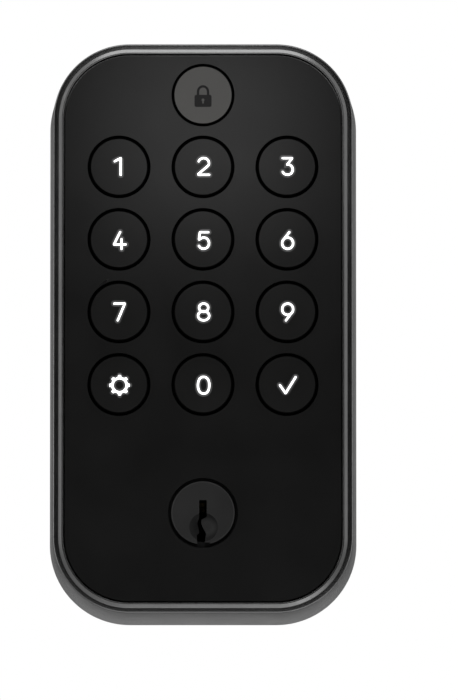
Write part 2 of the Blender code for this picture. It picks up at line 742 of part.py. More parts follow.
def make_screws():
    """All screws, each driven from behind."""
    for i, (x, z) in enumerate(KEYPAD_SCREWS):
        head = BOARD_Y[1] + GAP
        profile = [(0, -0.0212), (0.001, -0.0212), (0.001, head), (0.002, head)]
        profile += [(0.002, head + 0.0009), (0.0015, head + 0.0013), (0, head + 0.0013)]
        screw = turned(f"keypad_screw_{i + 1}", profile, STEEL, x, z, 12)
        cut(screw, cross_recess(f"keypad_recess_{i}", x, z, 0.0024, (head + 0.0006, -0.01)))
    for (x, z), side in zip(ear_places(), ("left", "right")):
        head = EAR_Y[1] + GAP
        profile = [(0, -0.0214), (0.0015, -0.0214), (0.0015, head), (0.0023, head)]
        profile += [(0.0023, head + 0.0014), (0.0018, head + 0.0018), (0, head + 0.0018)]
        screw = turned(f"cylinder_screw_{side}", profile, STEEL, x, z, 12)
        cut(screw, cross_recess(f"cylinder_recess_{side}", x, z, 0.0028, (head + 0.0009, -0.01)))
    for i, (x, z) in enumerate(back_screw_places()):
        profile = [(0, -0.0115), (0.0012, -0.0115), (0.0012, -0.0013)]
        profile += [(0.0023, -0.0003), (0, -0.0003)]
        screw = turned(f"back_screw_{i + 1}", profile, STEEL, x, z, 16)
        cut(screw, cross_recess(f"back_recess_{i}", x, z, 0.003, (-0.0012, 0.001)))


def main():
    make_escutcheon()
    make_face_panel()
    make_back_plate()
    make_gasket()
    make_grommet()
    make_buttons()
    make_keymat()
    make_board()
    make_cylinder_body()
    make_plug()
    make_pins()
    make_cylinder_fittings()
    make_posts()
    make_screws()


main()
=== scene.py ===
import math

import bmesh
import bpy
import numpy as np
from mathutils import Matrix, Vector


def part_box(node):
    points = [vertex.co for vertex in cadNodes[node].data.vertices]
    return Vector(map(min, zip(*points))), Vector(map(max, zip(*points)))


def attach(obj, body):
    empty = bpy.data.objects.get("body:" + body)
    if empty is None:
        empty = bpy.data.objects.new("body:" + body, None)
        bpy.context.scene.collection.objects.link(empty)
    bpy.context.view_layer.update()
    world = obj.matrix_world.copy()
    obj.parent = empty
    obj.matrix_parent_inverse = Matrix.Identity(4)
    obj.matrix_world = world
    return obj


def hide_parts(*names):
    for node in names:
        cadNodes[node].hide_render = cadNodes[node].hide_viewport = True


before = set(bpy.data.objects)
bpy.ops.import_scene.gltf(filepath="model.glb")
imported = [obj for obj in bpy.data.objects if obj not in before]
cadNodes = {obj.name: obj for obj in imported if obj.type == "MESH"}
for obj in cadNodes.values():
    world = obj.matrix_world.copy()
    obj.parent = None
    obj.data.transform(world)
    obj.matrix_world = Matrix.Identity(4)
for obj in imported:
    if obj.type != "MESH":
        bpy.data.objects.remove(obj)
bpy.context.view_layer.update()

mm = 0.001
print("frame loaded with", len(cadNodes), "nodes")


def middle(node):
    low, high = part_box(node)
    return (low + high) / 2


def faceMiddle(node):
    # the part's middle across and up, as its front is looked at
    spot = middle(node)
    return spot.x, spot.z


# where the CAD parts stand
caseLow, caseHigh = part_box("escutcheon")
plugAxis = faceMiddle("cylinder_plug")
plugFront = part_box("cylinder_plug")[0].y
keyNames = [f"key_{k}" for k in (1, 2, 3, 4, 5, 6, 7, 8, 9, "settings", 0, "enter")]
buttonNames = keyNames + ["lock_button"]


def fillNode(tree, node, values):
    # each named socket is linked when its value is itself a socket, and set otherwise
    for name, value in values.items():
        if isinstance(value, bpy.types.NodeSocket):
            tree.links.new(value, node.inputs[name])
        else:
            node.inputs[name].default_value = value
    return node


def addNode(tree, kind, values):
    return fillNode(tree, tree.nodes.new("ShaderNode" + kind), values)


def noiseNode(tree, coords, scale, detail, rough=0.55, stretch=(1, 1, 1)):
    mapping = addNode(tree, "Mapping", {"Scale": stretch, "Vector": coords.outputs["Object"]})
    noise = addNode(tree, "TexNoise", {"Scale": scale, "Detail": detail, "Roughness": rough,
                                       "Vector": mapping.outputs["Vector"]})
    return noise.outputs["Fac"]


def spread(tree, value, low, high, fromLow=0.3, fromHigh=0.7):
    # stretches the middle of a noise over the range low to high
    node = addNode(tree, "MapRange", {"From Min": fromLow, "From Max": fromHigh, "To Min": low,
                                      "To Max": high, "Value": value})
    return node.outputs["Result"]


def blendColours(tree, factor, first, second):
    # first and second are colours or sockets
    node = tree.nodes.new("ShaderNodeMix")
    node.data_type = "RGBA"
    tree.links.new(factor, node.inputs["Factor"])
    for socket, colour in ((node.inputs["A"], first), (node.inputs["B"], second)):
        if isinstance(colour, tuple):
            socket.default_value = (*colour, 1)
        else:
            tree.links.new(colour, socket)
    return node.outputs["Result"]


def grey(level):
    return (level, level, level)


def newMaterial(name):
    material = bpy.data.materials.new(name)
    material.use_nodes = True
    tree = material.node_tree
    return material, tree, tree.nodes["Principled BSDF"], tree.nodes.new("ShaderNodeTexCoord")


def finishMaterial(name, look):
    # colour varies in slow blotches and fine grain, edges wear, and the grain is also a bump
    look = {**plainLook, **look}
    material, tree, shader, coords = newMaterial(name)
    blotches = noiseNode(tree, coords, look["blotchScale"], 4)
    grain = noiseNode(tree, coords, look["grainScale"], 2.5, 0.6, look["stretch"])
    shift = look["colourShift"]
    dark = tuple(c * (1 - shift) for c in look["colour"])
    light = tuple(c * (1 + shift) for c in look["colour"])
    colour = blendColours(tree, spread(tree, blotches, 0, 1), dark, light)
    speck = look["speck"]
    fleck = tuple(c * (1 + 2.2 * speck) for c in look["colour"])
    colour = blendColours(tree, spread(tree, grain, 0, speck, *fleckRange), colour, fleck)
    if "wear" in look:
        edge = tree.nodes.new("ShaderNodeNewGeometry")
        worn = spread(tree, edge.outputs["Pointiness"], 0, look["wear"], *wearRange)
        colour = blendColours(tree, worn, colour, look["wearColour"])
    if "litSpotAt" in look:
        # painted highlight: the colour turns lighter round one spot on the scoop's floor, less and less over
        # the reach, where the floor faces the light
        away = tree.nodes.new("ShaderNodeVectorMath")
        away.operation = "DISTANCE"
        fillNode(tree, away, {0: coords.outputs["Object"], 1: look["litSpotAt"]})
        litSpot = spread(tree, away.outputs["Value"], 1, 0, look["litSpotReach"] * 0.5, look["litSpotReach"])
        colour = blendColours(tree, litSpot, colour, look["litSpotColour"])
    rough, roughShift = look["roughness"], look["roughnessShift"]
    smear = spread(tree, blotches, rough - roughShift, rough + roughShift)
    bump = addNode(tree, "Bump", {"Strength": look["bump"], "Distance": look["grainDepth"], "Height": grain})
    fillNode(tree, shader, {
        "Base Color": colour,
        "Roughness": smear,
        "Metallic": look["metallic"],
        "Specular IOR Level": look["specular"],
        "Specular Tint": (*grey(look["edgeTint"]), 1),
        "Normal": bump.outputs["Normal"],
    })
    return material


plainLook = dict(             # what a finish has where it says nothing else; sizes per metre
    metallic=0, specular=0.5, edgeTint=1, roughnessShift=0.05, bump=0.25, grainDepth=0.00003,
    stretch=(1, 1, 1), blotchScale=90, grainScale=5200, colourShift=0.12, speck=0.15,
)
fleckRange = (0.5, 0.72)      # how much of the grain shows as flecks
wearRange = (0.515, 0.6)      # pointiness where wear starts, and where it is full
looks = {
    "casePaint": dict(
        colour=grey(0.08), metallic=1.0, roughness=0.25, edgeTint=0.42, roughnessShift=0.02, bump=0.4,
        grainDepth=0.00004, speck=0.3, colourShift=0.05, wear=0.2, wearColour=grey(0.14),
    ),
    "panelPlastic": dict(
        colour=(0.001, 0.001, 0.00095), roughness=0.34, specular=0.3, roughnessShift=0.02,
        grainScale=6500, bump=0.2, grainDepth=0.00002, speck=0.3, colourShift=0.06,
    ),
    "keyPlastic": dict(
        colour=(0.0018, 0.0018, 0.0017), roughness=0.35, specular=0.28, roughnessShift=0.02,
        grainScale=7500, bump=0.2, grainDepth=0.00002, speck=0.3, colourShift=0.06,
    ),
    "edgeGloss": dict(colour=grey(0.006), roughness=0.3, specular=1.0, bump=0.1),
    "buttonPaint": dict(
        colour=(0.043, 0.042, 0.04), roughness=0.5, specular=0.3, grainScale=6500, bump=0.2,
        colourShift=0.04,
    ),
    "inlayBlack": dict(colour=grey(0.001), roughness=0.45, specular=0.2, bump=0.1),
    "plugBlack": dict(colour=grey(0.0115), roughness=0.5, specular=0.12, bump=0.15, speck=0.2),
    # painted shade: the scoop's walls get a colour darker than the plug's, with a painted highlight round a
    # spot on its floor
    "scoopShade": dict(
        colour=grey(0.0055), roughness=0.5, specular=0.04, bump=0.1, litSpotReach=2.5 * mm,
        litSpotColour=grey(0.021),
        litSpotAt=(plugAxis[0] + 1.1 * mm, plugFront + 1.4 * mm, plugAxis[1] - 3.2 * mm),
    ),
    # painted shade: a near-black colour for walls deep in the gaps between parts
    "gapShade": dict(colour=grey(0.0005), roughness=0.7, specular=0.03, bump=0.1),
    "shellBlack": dict(
        colour=(0.006, 0.006, 0.0062), roughness=0.5, specular=0.2, grainScale=4200, bump=0.3,
    ),
    "oiledBrass": dict(
        colour=(0.06, 0.043, 0.018), roughness=0.42, metallic=0.8, grainScale=2600,
        colourShift=0.2,
    ),
    "turnedBrass": dict(
        colour=(0.42, 0.29, 0.115), roughness=0.3, metallic=1.0, grainScale=2600, stretch=(1, 9, 1),
        colourShift=0.14, wear=0.4, wearColour=(0.56, 0.42, 0.2),
    ),
    "zincSteel": dict(
        colour=(0.31, 0.31, 0.305), roughness=0.34, metallic=1.0, grainScale=3200, bump=0.2,
        colourShift=0.16, roughnessShift=0.08, wear=0.35, wearColour=(0.46, 0.46, 0.45),
    ),
    "bladeSteel": dict(
        colour=(0.25, 0.25, 0.245), roughness=0.36, metallic=1.0, grainScale=3600,
        stretch=(6, 0.4, 6), bump=0.35, colourShift=0.15, wear=0.35, wearColour=(0.4, 0.4, 0.39),
    ),
    "springSteel": dict(colour=grey(0.35), roughness=0.28, metallic=1.0, bump=0.1),
    "tinnedSteel": dict(
        colour=(0.42, 0.42, 0.4), roughness=0.3, metallic=1.0, grainScale=2500, stretch=(8, 1, 0.6),
        bump=0.15, colourShift=0.1,
    ),
    "milkySilicone": dict(colour=(0.5, 0.5, 0.48), roughness=0.55, grainScale=2800, bump=0.1),
    "boardGreen": dict(
        colour=(0.012, 0.1, 0.045), roughness=0.35, grainScale=1600, bump=0.2, colourShift=0.3,
        blotchScale=420,
    ),
    "chipBlack": dict(colour=(0.02, 0.02, 0.021), roughness=0.55, bump=0.4),
    "socketNylon": dict(colour=(0.72, 0.69, 0.6), roughness=0.5, grainScale=2600, bump=0.15),
    "backPlastic": dict(
        colour=(0.034, 0.034, 0.035), roughness=0.58, grainScale=2400, bump=0.55, grainDepth=0.00005,
        speck=0.3,
    ),
    "sealRubber": dict(
        colour=grey(0.018), roughness=0.78, grainScale=1900, bump=0.5, grainDepth=0.00005,
        colourShift=0.3, specular=0.3,
    ),
}
finishes = {name: finishMaterial(name, look) for name, look in looks.items()}


def litMaterial(name, level, strength):
    # evenly lit figures: a faint mottle keeps the light from being one flat value
    material, tree, shader, coords = newMaterial(name)
    mottle = spread(tree, noiseNode(tree, coords, 900, 2), 0, 1)
    for socket, shade in (("Base Color", level), ("Emission Color", 1.0)):
        tree.links.new(blendColours(tree, mottle, grey(0.93 * shade), grey(shade)), shader.inputs[socket])
    fillNode(tree, shader, {"Emission Strength": strength, "Roughness": 0.35,
                            "Specular IOR Level": 0.28})
    return material


for name, level, strength in (
    ("figureWhite", 1.0, 1.25),
    ("figureEdge", 0.05, 0.045),
    ("figureHalo", 0.035, 0.033),
):
    finishes[name] = litMaterial(name, level, strength)
print("materials made:", len(finishes))


def fullTurn(steps):
    return np.linspace(0, 2 * math.pi, steps, endpoint=False)


def rays(angle):
    # unit directions (cosine, sine) at the angles
    return np.stack([np.cos(angle), np.sin(angle)], axis=-1)


def asPoints(across, depth, up):
    return np.stack(np.broadcast_arrays(across, depth, up), axis=-1)


def gridFaces(rows, columns, closedRows, closedColumns):
    # four corners of every cell of the grid, as one array
    i, j = np.meshgrid(np.arange(rows - (not closedRows)), np.arange(columns - (not closedColumns)),
                       indexing="ij")
    nextI, nextJ = (i + 1) % rows, (j + 1) % columns
    cells = np.stack([i * columns + j, nextI * columns + j, nextI * columns + nextJ,
                      i * columns + nextJ], axis=-1)
    return cells.reshape(-1, 4)


def cleaned(mesh, mergeGap=0.0, sliver=0.0):
    # doubles merged, slivers dissolved, and every face turned outwards
    work = bmesh.new()
    work.from_mesh(mesh)
    if mergeGap:
        bmesh.ops.remove_doubles(work, verts=work.verts, dist=mergeGap)
    if sliver:
        bmesh.ops.dissolve_degenerate(work, edges=work.edges, dist=sliver)
    bmesh.ops.recalc_face_normals(work, faces=work.faces)
    work.to_mesh(mesh)
    work.free()
    return mesh


def putPiece(name, grids, finish, smooth=32):
    # grids: (points of shape rows x columns x 3, closedRows, closedColumns), joined in one mesh
    points, faces, start = [], [], 0
    for grid, closedRows, closedColumns in grids:
        rows, columns = grid.shape[:2]
        points.append(grid.reshape(-1, 3))
        faces.append(gridFaces(rows, columns, closedRows, closedColumns) + start)
        start += rows * columns
    mesh = bpy.data.meshes.new(name)
    mesh.from_pydata(np.concatenate(points), [], np.concatenate(faces).tolist())
    return dress(bpy.data.objects.new(name, cleaned(mesh, 2e-7, 1e-8)), finish, smooth)


def dress(piece, finish, smooth=32):
    if not piece.users_collection:
        bpy.context.scene.collection.objects.link(piece)
    piece.data.materials.clear()
    piece.data.materials.append(finishes[finish])
    piece.data.shade_smooth()
    piece.data.set_sharp_from_angle(angle=math.radians(smooth))
    return piece


def paintFaces(piece, finish, chosen):
    # gives the finish to the faces that chosen picks from the array of face centres
    mesh = piece.data
    centres = np.empty(len(mesh.polygons) * 3)
    mesh.polygons.foreach_get("center", centres)
    indices = np.empty(len(mesh.polygons), np.int32)
    mesh.polygons.foreach_get("material_index", indices)
    indices[chosen(centres.reshape(-1, 3))] = len(mesh.materials)
    mesh.materials.append(finishes[finish])
    mesh.polygons.foreach_set("material_index", indices)
    return piece


def place(piece, body, slot, *replaced):
    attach(piece, body)
    if replaced:
        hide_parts(*replaced)
    return piece


def softCorners(corners, steps=5):
    # corners: (u, v, radius). Each corner becomes an arc that touches both of its sides
    spots = np.array([(u, v) for u, v, _ in corners], float)
    rounded = []
    for k, (_, _, radius) in enumerate(corners):
        before, here, after = spots[k - 1], spots[k], spots[(k + 1) % len(spots)]
        if radius <= 0:
            rounded.append(here[None])
            continue
        back = (before - here) / np.linalg.norm(before - here)
        ahead = (after - here) / np.linalg.norm(after - here)
        half = math.acos(np.clip(back @ ahead, -1, 1)) / 2
        centre = here + (back + ahead) / np.linalg.norm(back + ahead) * radius / math.sin(half)
        reach = radius / math.tan(half)
        first, last = here + back * reach - centre, here + ahead * reach - centre
        turn = math.pi - 2 * half
        part = np.linspace(0, 1, steps + 1)[:, None]
        arc = (np.sin((1 - part) * turn) * first + np.sin(part * turn) * last) / math.sin(turn)
        rounded.append(centre + arc)
    return np.concatenate(rounded)


def roundedRing(halfWidth, halfHeight, corner, steps=28, centre=(0, 0)):
    # points of a rounded rectangle and the outward direction at each, counterclockwise
    angles = np.radians(np.arange(4)[:, None] * 90 + np.linspace(0, 90, steps + 1)[None])
    out = rays(angles)
    hubs = np.array([(1, 1), (-1, 1), (-1, -1), (1, -1)]) * (halfWidth - corner, halfHeight - corner)
    ring = hubs[:, None] + out * corner + centre
    return ring.reshape(-1, 2), out.reshape(-1, 2)


def carried(ring, profile):
    # the profile's (inset, y) points carried round the ring: ring point minus inset times outward
    spots, out = ring
    inset, depth = profile[:, 0], profile[:, 1]
    across = spots[:, None, 0] - inset[None] * out[:, None, 0]
    up = spots[:, None, 1] - inset[None] * out[:, None, 1]
    return asPoints(across, depth[None], up)


def turned(profile, centre, steps=96):
    # the profile's (radius, y) points turned about an axis along Y through centre (x, z)
    angle = fullTurn(steps)[:, None]
    radius, depth = profile[None, :, 0], profile[None, :, 1]
    return asPoints(centre[0] + radius * np.cos(angle), depth, centre[1] + radius * np.sin(angle))


def carriedPiece(name, ring, profile, finish, smooth):
    return putPiece(name, [(carried(ring, profile), True, True)], finish, smooth)


def turnedPiece(name, profile, centre, steps, finish, smooth=32):
    # a profile that starts and ends on its axis, turned about it
    return putPiece(name, [(turned(profile, centre, steps), True, False)], finish, smooth)


def baked(piece):
    # the piece with its modifiers applied
    view = piece.evaluated_get(bpy.context.evaluated_depsgraph_get())
    mesh = bpy.data.meshes.new_from_object(view)
    piece.modifiers.clear()
    old = piece.data
    piece.data = mesh
    bpy.data.meshes.remove(old)
    return piece


def carve(piece, *cutters):
    for cutter in cutters:
        cut = piece.modifiers.new("cut", "BOOLEAN")
        cut.operation = "DIFFERENCE"
        cut.solver = "EXACT"
        cut.object = cutter
    bpy.context.view_layer.update()
    baked(piece)
    for cutter in cutters:
        bpy.data.objects.remove(cutter)
    return piece


def plateWithHoles(name, outlines, front, rear, finish, edge=0.0, segments=3):
    # a flat outline with holes, given its thickness, its rims rounded by a bevel
    curve = bpy.data.curves.new(name, "CURVE")
    curve.dimensions = "2D"
    curve.fill_mode = "BOTH"
    curve.extrude = (rear - front) / 2
    for outline in outlines:
        spline = curve.splines.new("POLY")
        spline.points.add(len(outline) - 1)
        flat = np.zeros((len(outline), 4))
        flat[:, :2] = outline
        flat[:, 3] = 1
        spline.points.foreach_set("co", flat.ravel())
        spline.use_cyclic_u = True
    source = bpy.data.objects.new(name + "Outline", curve)
    bpy.context.scene.collection.objects.link(source)
    bpy.context.view_layer.update()
    mesh = bpy.data.meshes.new_from_object(
        source.evaluated_get(bpy.context.evaluated_depsgraph_get()))
    bpy.data.objects.remove(source)
    mesh.transform(Matrix.Translation((0, (front + rear) / 2, 0)) @ Matrix.Rotation(math.pi / 2, 4, "X"))
    mesh.name = name
    piece = dress(bpy.data.objects.new(name, cleaned(mesh, 1e-6)), finish)
    if edge:
        roundEdges(piece, edge, segments)
    return piece


def roundEdges(piece, width, segments=3, angle=40):
    edge = piece.modifiers.new("softEdge", "BEVEL")
    edge.width = width
    edge.segments = segments
    edge.limit_method = "ANGLE"
    edge.angle_limit = math.radians(angle)
    edge.harden_normals = True
    edge.use_clamp_overlap = True
    return piece


def circlePoints(centre, radius, steps, start):
    # points of a circle, the first one at the start angle
    return centre + radius * rays(np.radians(start) + fullTurn(steps))


def refined(node, name, finish, width, segments=2, angle=40):
    # a merged copy of the CAD node with its edges rounded
    mesh = cadNodes[node].data.copy()
    mesh.name = name
    work = bmesh.new()
    work.from_mesh(mesh)
    bmesh.ops.remove_doubles(work, verts=work.verts, dist=1e-6)
    bmesh.ops.dissolve_limit(work, angle_limit=math.radians(0.5), verts=work.verts, edges=work.edges)
    work.to_mesh(mesh)
    work.free()
    return roundEdges(dress(bpy.data.objects.new(name, mesh), finish), width, segments, angle)


case = dict(
    drawIn=1.0 * mm,          # how far the side walls lean in towards the front
    shoulder=0.5 * mm,        # the flat step lies this far behind the rim's crest
    slopeStart=2.2 * mm,
    slopeEnd=3.0 * mm,
    pocket=3.3 * mm,
    ledge=4.9 * mm,
    ledgeFront=2.6 * mm,      # behind the crest
    ledgeRear=4.6 * mm,
    wall=2.0 * mm,
    corner=18.5 * mm,
)


def makeCase():
    # the wall's (inset, y) section, from the rear edge over the rim to the ledge, carried round
    front, rear = caseLow.y, caseHigh.y
    step = front + case["shoulder"]
    inner = case["drawIn"] + case["wall"]
    profile = softCorners([
        (0, rear, 0.25 * mm),
        (case["drawIn"], step, 0.42 * mm),
        (case["slopeStart"], step, 0.35 * mm),
        (case["slopeEnd"], front, 0.12 * mm),
        (case["pocket"], front, 0.12 * mm),
        (case["pocket"], front + case["ledgeFront"], 0.1 * mm),
        (case["ledge"], front + case["ledgeFront"], 0.2 * mm),
        (case["ledge"], front + case["ledgeRear"], 0.2 * mm),
        (inner, front + case["ledgeRear"], 0.3 * mm),
        (case["wall"], rear, 0.2 * mm),
    ], 6)
    ring = roundedRing(caseHigh.x, caseHigh.z, case["corner"], 40)
    shell = carriedPiece("caseShell", ring, profile, "casePaint", 50)
    return place(shell, "casing", "case_metal", "escutcheon")


web = dict(
    inset=4.7 * mm,
    top=-23.5 * mm,           # height of its upper edge
    front=-22.3 * mm,
    rear=-19.8 * mm,
    rim=0.12 * mm,
    cylinderHole=9.2 * mm,
    screwHole=1.8 * mm,
    postHole=2.1 * mm,
)


def makeCaseWeb():
    # cast web behind the lower panel, with the cylinder's hole and four smaller ones
    halfWidth, halfHeight = caseHigh.x - web["inset"], caseHigh.z - web["inset"]
    spots, _ = roundedRing(halfWidth, halfHeight, case["corner"] - web["inset"], 12)
    lower = spots[len(spots) // 2:]
    outline = np.concatenate([lower, [(halfWidth, web["top"]), (-halfWidth, web["top"])]])
    holes = [circlePoints(plugAxis, web["cylinderHole"], 64, 3)]
    for part, hole, starts in (
        ("cylinder_screw", web["screwHole"], (5, 8)),
        ("through_bolt_post", web["postHole"], (2, 11)),
    ):
        for side, start in zip(("left", "right"), starts):
            holes.append(circlePoints(faceMiddle(f"{part}_{side}"), hole, 24, start))
    plate = plateWithHoles("caseWeb", [outline, *holes], web["front"], web["rear"], "casePaint",
                           web["rim"], 2)
    return place(plate, "casing", "case_metal")


screwBoss = dict(foot=3.4 * mm, tip=3.26 * mm, bore=1.5 * mm, front=-21.2 * mm, rear=-3.5 * mm,
                 boreEnd=-12.5 * mm)


def makeCaseBosses():
    # four screw bosses: the outer wall tapers 4 % towards the rear, with a blind hole
    profile = softCorners([
        (screwBoss["foot"], screwBoss["front"], 0),
        (screwBoss["tip"], screwBoss["rear"], 0.25 * mm),
        (screwBoss["bore"], screwBoss["rear"], 0.15 * mm),
        (screwBoss["bore"], screwBoss["boreEnd"], 0),
    ], 4)
    closed = np.concatenate([[(0, screwBoss["front"])], profile, [(0, screwBoss["boreEnd"])]])
    grids = [(turned(closed, faceMiddle(f"back_screw_{number}"), 40), True, False)
             for number in range(1, 5)]
    return place(putPiece("caseBosses", grids, "casePaint"), "casing", "case_metal")


makeCase()
makeCaseWeb()
makeCaseBosses()
print("case made")


panel = dict(
    keyHole=7.25 * mm,
    plugHole=8.03 * mm,
    corner=14.75 * mm,
    rim=0.06 * mm,
    thickness=2.0 * mm,
    shadeDepth=0.1 * mm,      # below this the holes' walls get painted shade, a near-black colour
    bossFoot=2.4 * mm,
    bossTip=2.3 * mm,
    bossBore=1.3 * mm,
)


def makePanel():
    # a rounded rectangle with round holes for the buttons and the plug
    low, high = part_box("face_panel")
    spots, _ = roundedRing(high.x, high.z, panel["corner"], 36)
    holes = [circlePoints(faceMiddle(name), panel["keyHole"], 96, 0.4 * number)
             for number, name in enumerate(buttonNames)]
    holes.append(circlePoints(plugAxis, panel["plugHole"], 96, 1.7))
    plate = plateWithHoles("facePanel", [spots, *holes], low.y, low.y + panel["thickness"],
                           "panelPlastic", panel["rim"], 4)
    # painted shade: the holes' walls deeper than the shade depth get a near-black colour
    paintFaces(plate, "gapShade", lambda centres: centres[:, 1] > low.y + panel["shadeDepth"])
    return place(plate, "casing", "panel_plastic", "face_panel")


def makePanelBosses():
    # the posts behind the panel that the keypad screws bite into
    low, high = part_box("face_panel")
    start = low.y + panel["thickness"] - 0.1 * mm
    profile = softCorners([
        (panel["bossFoot"], start, 0),
        (panel["bossTip"], high.y, 0.15 * mm),
        (panel["bossBore"], high.y, 0.1 * mm),
        (panel["bossBore"], start, 0),
    ], 3)
    grids = [(turned(profile, faceMiddle(f"keypad_screw_{number}"), 32), True, True)
             for number in range(1, 5)]
    return place(putPiece("panelBosses", grids, "panelPlastic"), "casing", "panel_plastic")


makePanel()
makePanelBosses()
print("panel made")


button = dict(
    keyRadius=6.56 * mm,
    discRadius=6.71 * mm,
    bevel=0.16 * mm,
    dish=0.05 * mm,           # the face bulges by this much at its middle
    shadeDepth=0.11 * mm,     # below this the gap's walls get painted shade, a near-black colour
    flange=7.6 * mm,
    flangeDepth=1.0 * mm,
    hollow=5.2 * mm,
    faceDepth=1.6 * mm,
)


def buttonProfile(low, high, radius):
    # face: y falls from the rim to the middle as a shallow bowl of the dish's height
    front, flangeFront = low.y, high.y - button["flangeDepth"]
    part = np.linspace(0, 1, 14)
    face = np.stack([part * (radius - button["bevel"]), front + button["dish"] * part ** 2.2], axis=-1)
    body = softCorners([
        (radius - button["bevel"], front + button["dish"], 0),
        (radius, front + button["dish"] + button["bevel"], 0.08 * mm),
        (radius, flangeFront, 0),
        (button["flange"], flangeFront, 0.1 * mm),
        (button["flange"], high.y, 0.1 * mm),
        (button["hollow"], high.y, 0.1 * mm),
        (button["hollow"], front + button["faceDepth"], 0.2 * mm),
        (0, front + button["faceDepth"], 0),
    ], 4)
    return np.concatenate([face[:-1], body])


def makeButtons():
    # each cap is its profile turned about the button's axis
    for name in buttonNames:
        low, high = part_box(name)
        isKey = name != "lock_button"
        profile = buttonProfile(low, high, button["keyRadius" if isKey else "discRadius"])
        cap = turnedPiece("cap" + name.title().replace("_", ""), profile, faceMiddle(name), 120,
                          "keyPlastic" if isKey else "buttonPaint")
        paintFaces(cap, "edgeGloss", lambda centres: centres[:, 1] > low.y + button["dish"] + 0.003 * mm)
        # painted shade: the cap's sides deeper in the gap get a near-black colour
        paintFaces(cap, "gapShade", lambda centres: centres[:, 1] > low.y + button["shadeDepth"])
        place(cap, name, "key_plastic" if isKey else "button_metal", name)


makeButtons()

figure = dict(
    stroke=0.268 * mm,        # half the width of a stroke
    sink=0.02 * mm,           # a stroke's sides start this far inside its key
    layers=(                  # the lit stroke, then the light that spreads round it
        ("figure", "figureWhite", 0.0, 0.052 * mm),
        ("figureEdge", "figureEdge", 0.09 * mm, 0.038 * mm),
        ("figureHalo", "figureHalo", 0.48 * mm, 0.03 * mm),
    ),
    cornerReach=0.12,         # in millimetres, as all figure paths are
    shift=0.15 * mm,          # figures sit a little right of their keys' middles
    rowShifts=(0.07 * mm, -0.29 * mm, -0.03 * mm, -0.19 * mm),
)


def arcPath(cx, cy, rx, ry, start, end, steps=18):
    # part of an ellipse between two angles in degrees
    return (cx, cy) + (rx, ry) * rays(np.radians(np.linspace(start, end, steps + 1)))


def linePath(*corners):
    # straight from corner to corner
    return np.array(corners, float)


def joinPaths(*paths):
    return np.concatenate(paths)


def ovalPath(cx, cy, rx, ry, power=2.0, steps=48):
    # superellipse: cosine and sine raised to 2 / power, with their signs kept
    ray = rays(np.linspace(0, 2 * math.pi, steps + 1))
    return (cx, cy) + (rx, ry) * np.sign(ray) * np.abs(ray) ** (2 / power)


sixRing = ovalPath(0, -0.62, 1.26, 1.3)
sixTail = linePath((-1.12, -0.05), (0.38, 1.92))
figurePaths = {               # centre lines in millimetres about each figure's middle
    "0": [ovalPath(0, 0, 1.3, 1.92, 2.25)],
    "1": [linePath((-1.12, 1.22), (0.22, 1.93), (0.22, -1.92))],
    "2": [joinPaths(arcPath(0, 0.78, 1.22, 1.16, 158, -28),
                    linePath((-1.2, -1.74), (-1.2, -1.92), (1.24, -1.92)))],
    "3": [joinPaths(linePath((-1.1, 1.92), (1.05, 1.92), (-0.08, 0.46)),
                    arcPath(-0.02, -0.71, 1.22, 1.2, 88, -152))],
    "4": [linePath((0.1, 1.92), (-1.32, -0.92), (1.34, -0.92)), linePath((0.42, 0.28), (0.42, -1.92))],
    "5": [joinPaths(linePath((1.05, 1.92), (-0.86, 1.92), (-1.08, 0.2)),
                    arcPath(0, -0.62, 1.24, 1.3, 128, -150))],
    "6": [sixRing, sixTail],
    "7": [linePath((-1.2, 1.92), (1.2, 1.92), (-0.42, -1.92))],
    "8": [ovalPath(0, 0.98, 1.05, 0.96), ovalPath(0, -0.88, 1.28, 1.06)],
    "9": [-sixRing, -sixTail],
    "enter": [linePath((-1.76, -0.02), (-0.48, -1.84), (1.8, 1.84))],
}


def strokeGrid(path, half, height, base, centre, capSteps=8):
    # A band along the path with round ends. Across it, the offset is half times cosine and the
    # lift is height times the 0.3 power of sine, so its top is nearly flat; past each end the
    # width shrinks as the square root of 1 - t * t.
    path = path * mm
    closed = np.allclose(path[0], path[-1])
    gaps = np.linalg.norm(np.diff(path, axis=0), axis=1)
    path = path[np.concatenate([[True], gaps > 1e-7])]
    if closed:
        path = path[:-1]
        ahead, behind = np.roll(path, -1, 0), np.roll(path, 1, 0)
    else:
        ahead = np.concatenate([path[1:], 2 * path[-1:] - path[-2:-1]])
        behind = np.concatenate([2 * path[:1] - path[1:2], path[:-1]])
    first = (path - behind) / np.linalg.norm(path - behind, axis=1)[:, None]
    last = (ahead - path) / np.linalg.norm(ahead - path, axis=1)[:, None]
    along = first + last
    along /= np.linalg.norm(along, axis=1)[:, None]
    side = np.stack([-along[:, 1], along[:, 0]], axis=-1)
    widen = 1 / np.clip((first * along).sum(1), 0.35, 1)
    width = np.ones(len(path))
    if not closed:
        t = np.sin(np.linspace(0, math.pi / 2, capSteps))[::-1]
        head = path[0] - along[0] * half * t[:, None]
        tail = path[-1] + along[-1] * half * t[::-1, None]
        path = np.concatenate([head, path, tail])
        side = np.concatenate([np.repeat(side[:1], capSteps, 0), side, np.repeat(side[-1:], capSteps, 0)])
        widen = np.pad(widen, capSteps, constant_values=1)
        width = np.concatenate([np.sqrt(1 - t ** 2), width, np.sqrt(1 - t[::-1] ** 2)])
    around = fullTurn(12)
    offset = (half * width * widen)[:, None] * np.cos(around)
    flat = path[:, None] + side[:, None] * offset[..., None] + centre
    rise = np.sin(around)
    lift = -height * np.sign(rise) * (width[:, None] * np.abs(rise)) ** 0.3
    return asPoints(flat[..., 0], base + lift, flat[..., 1]), closed, True


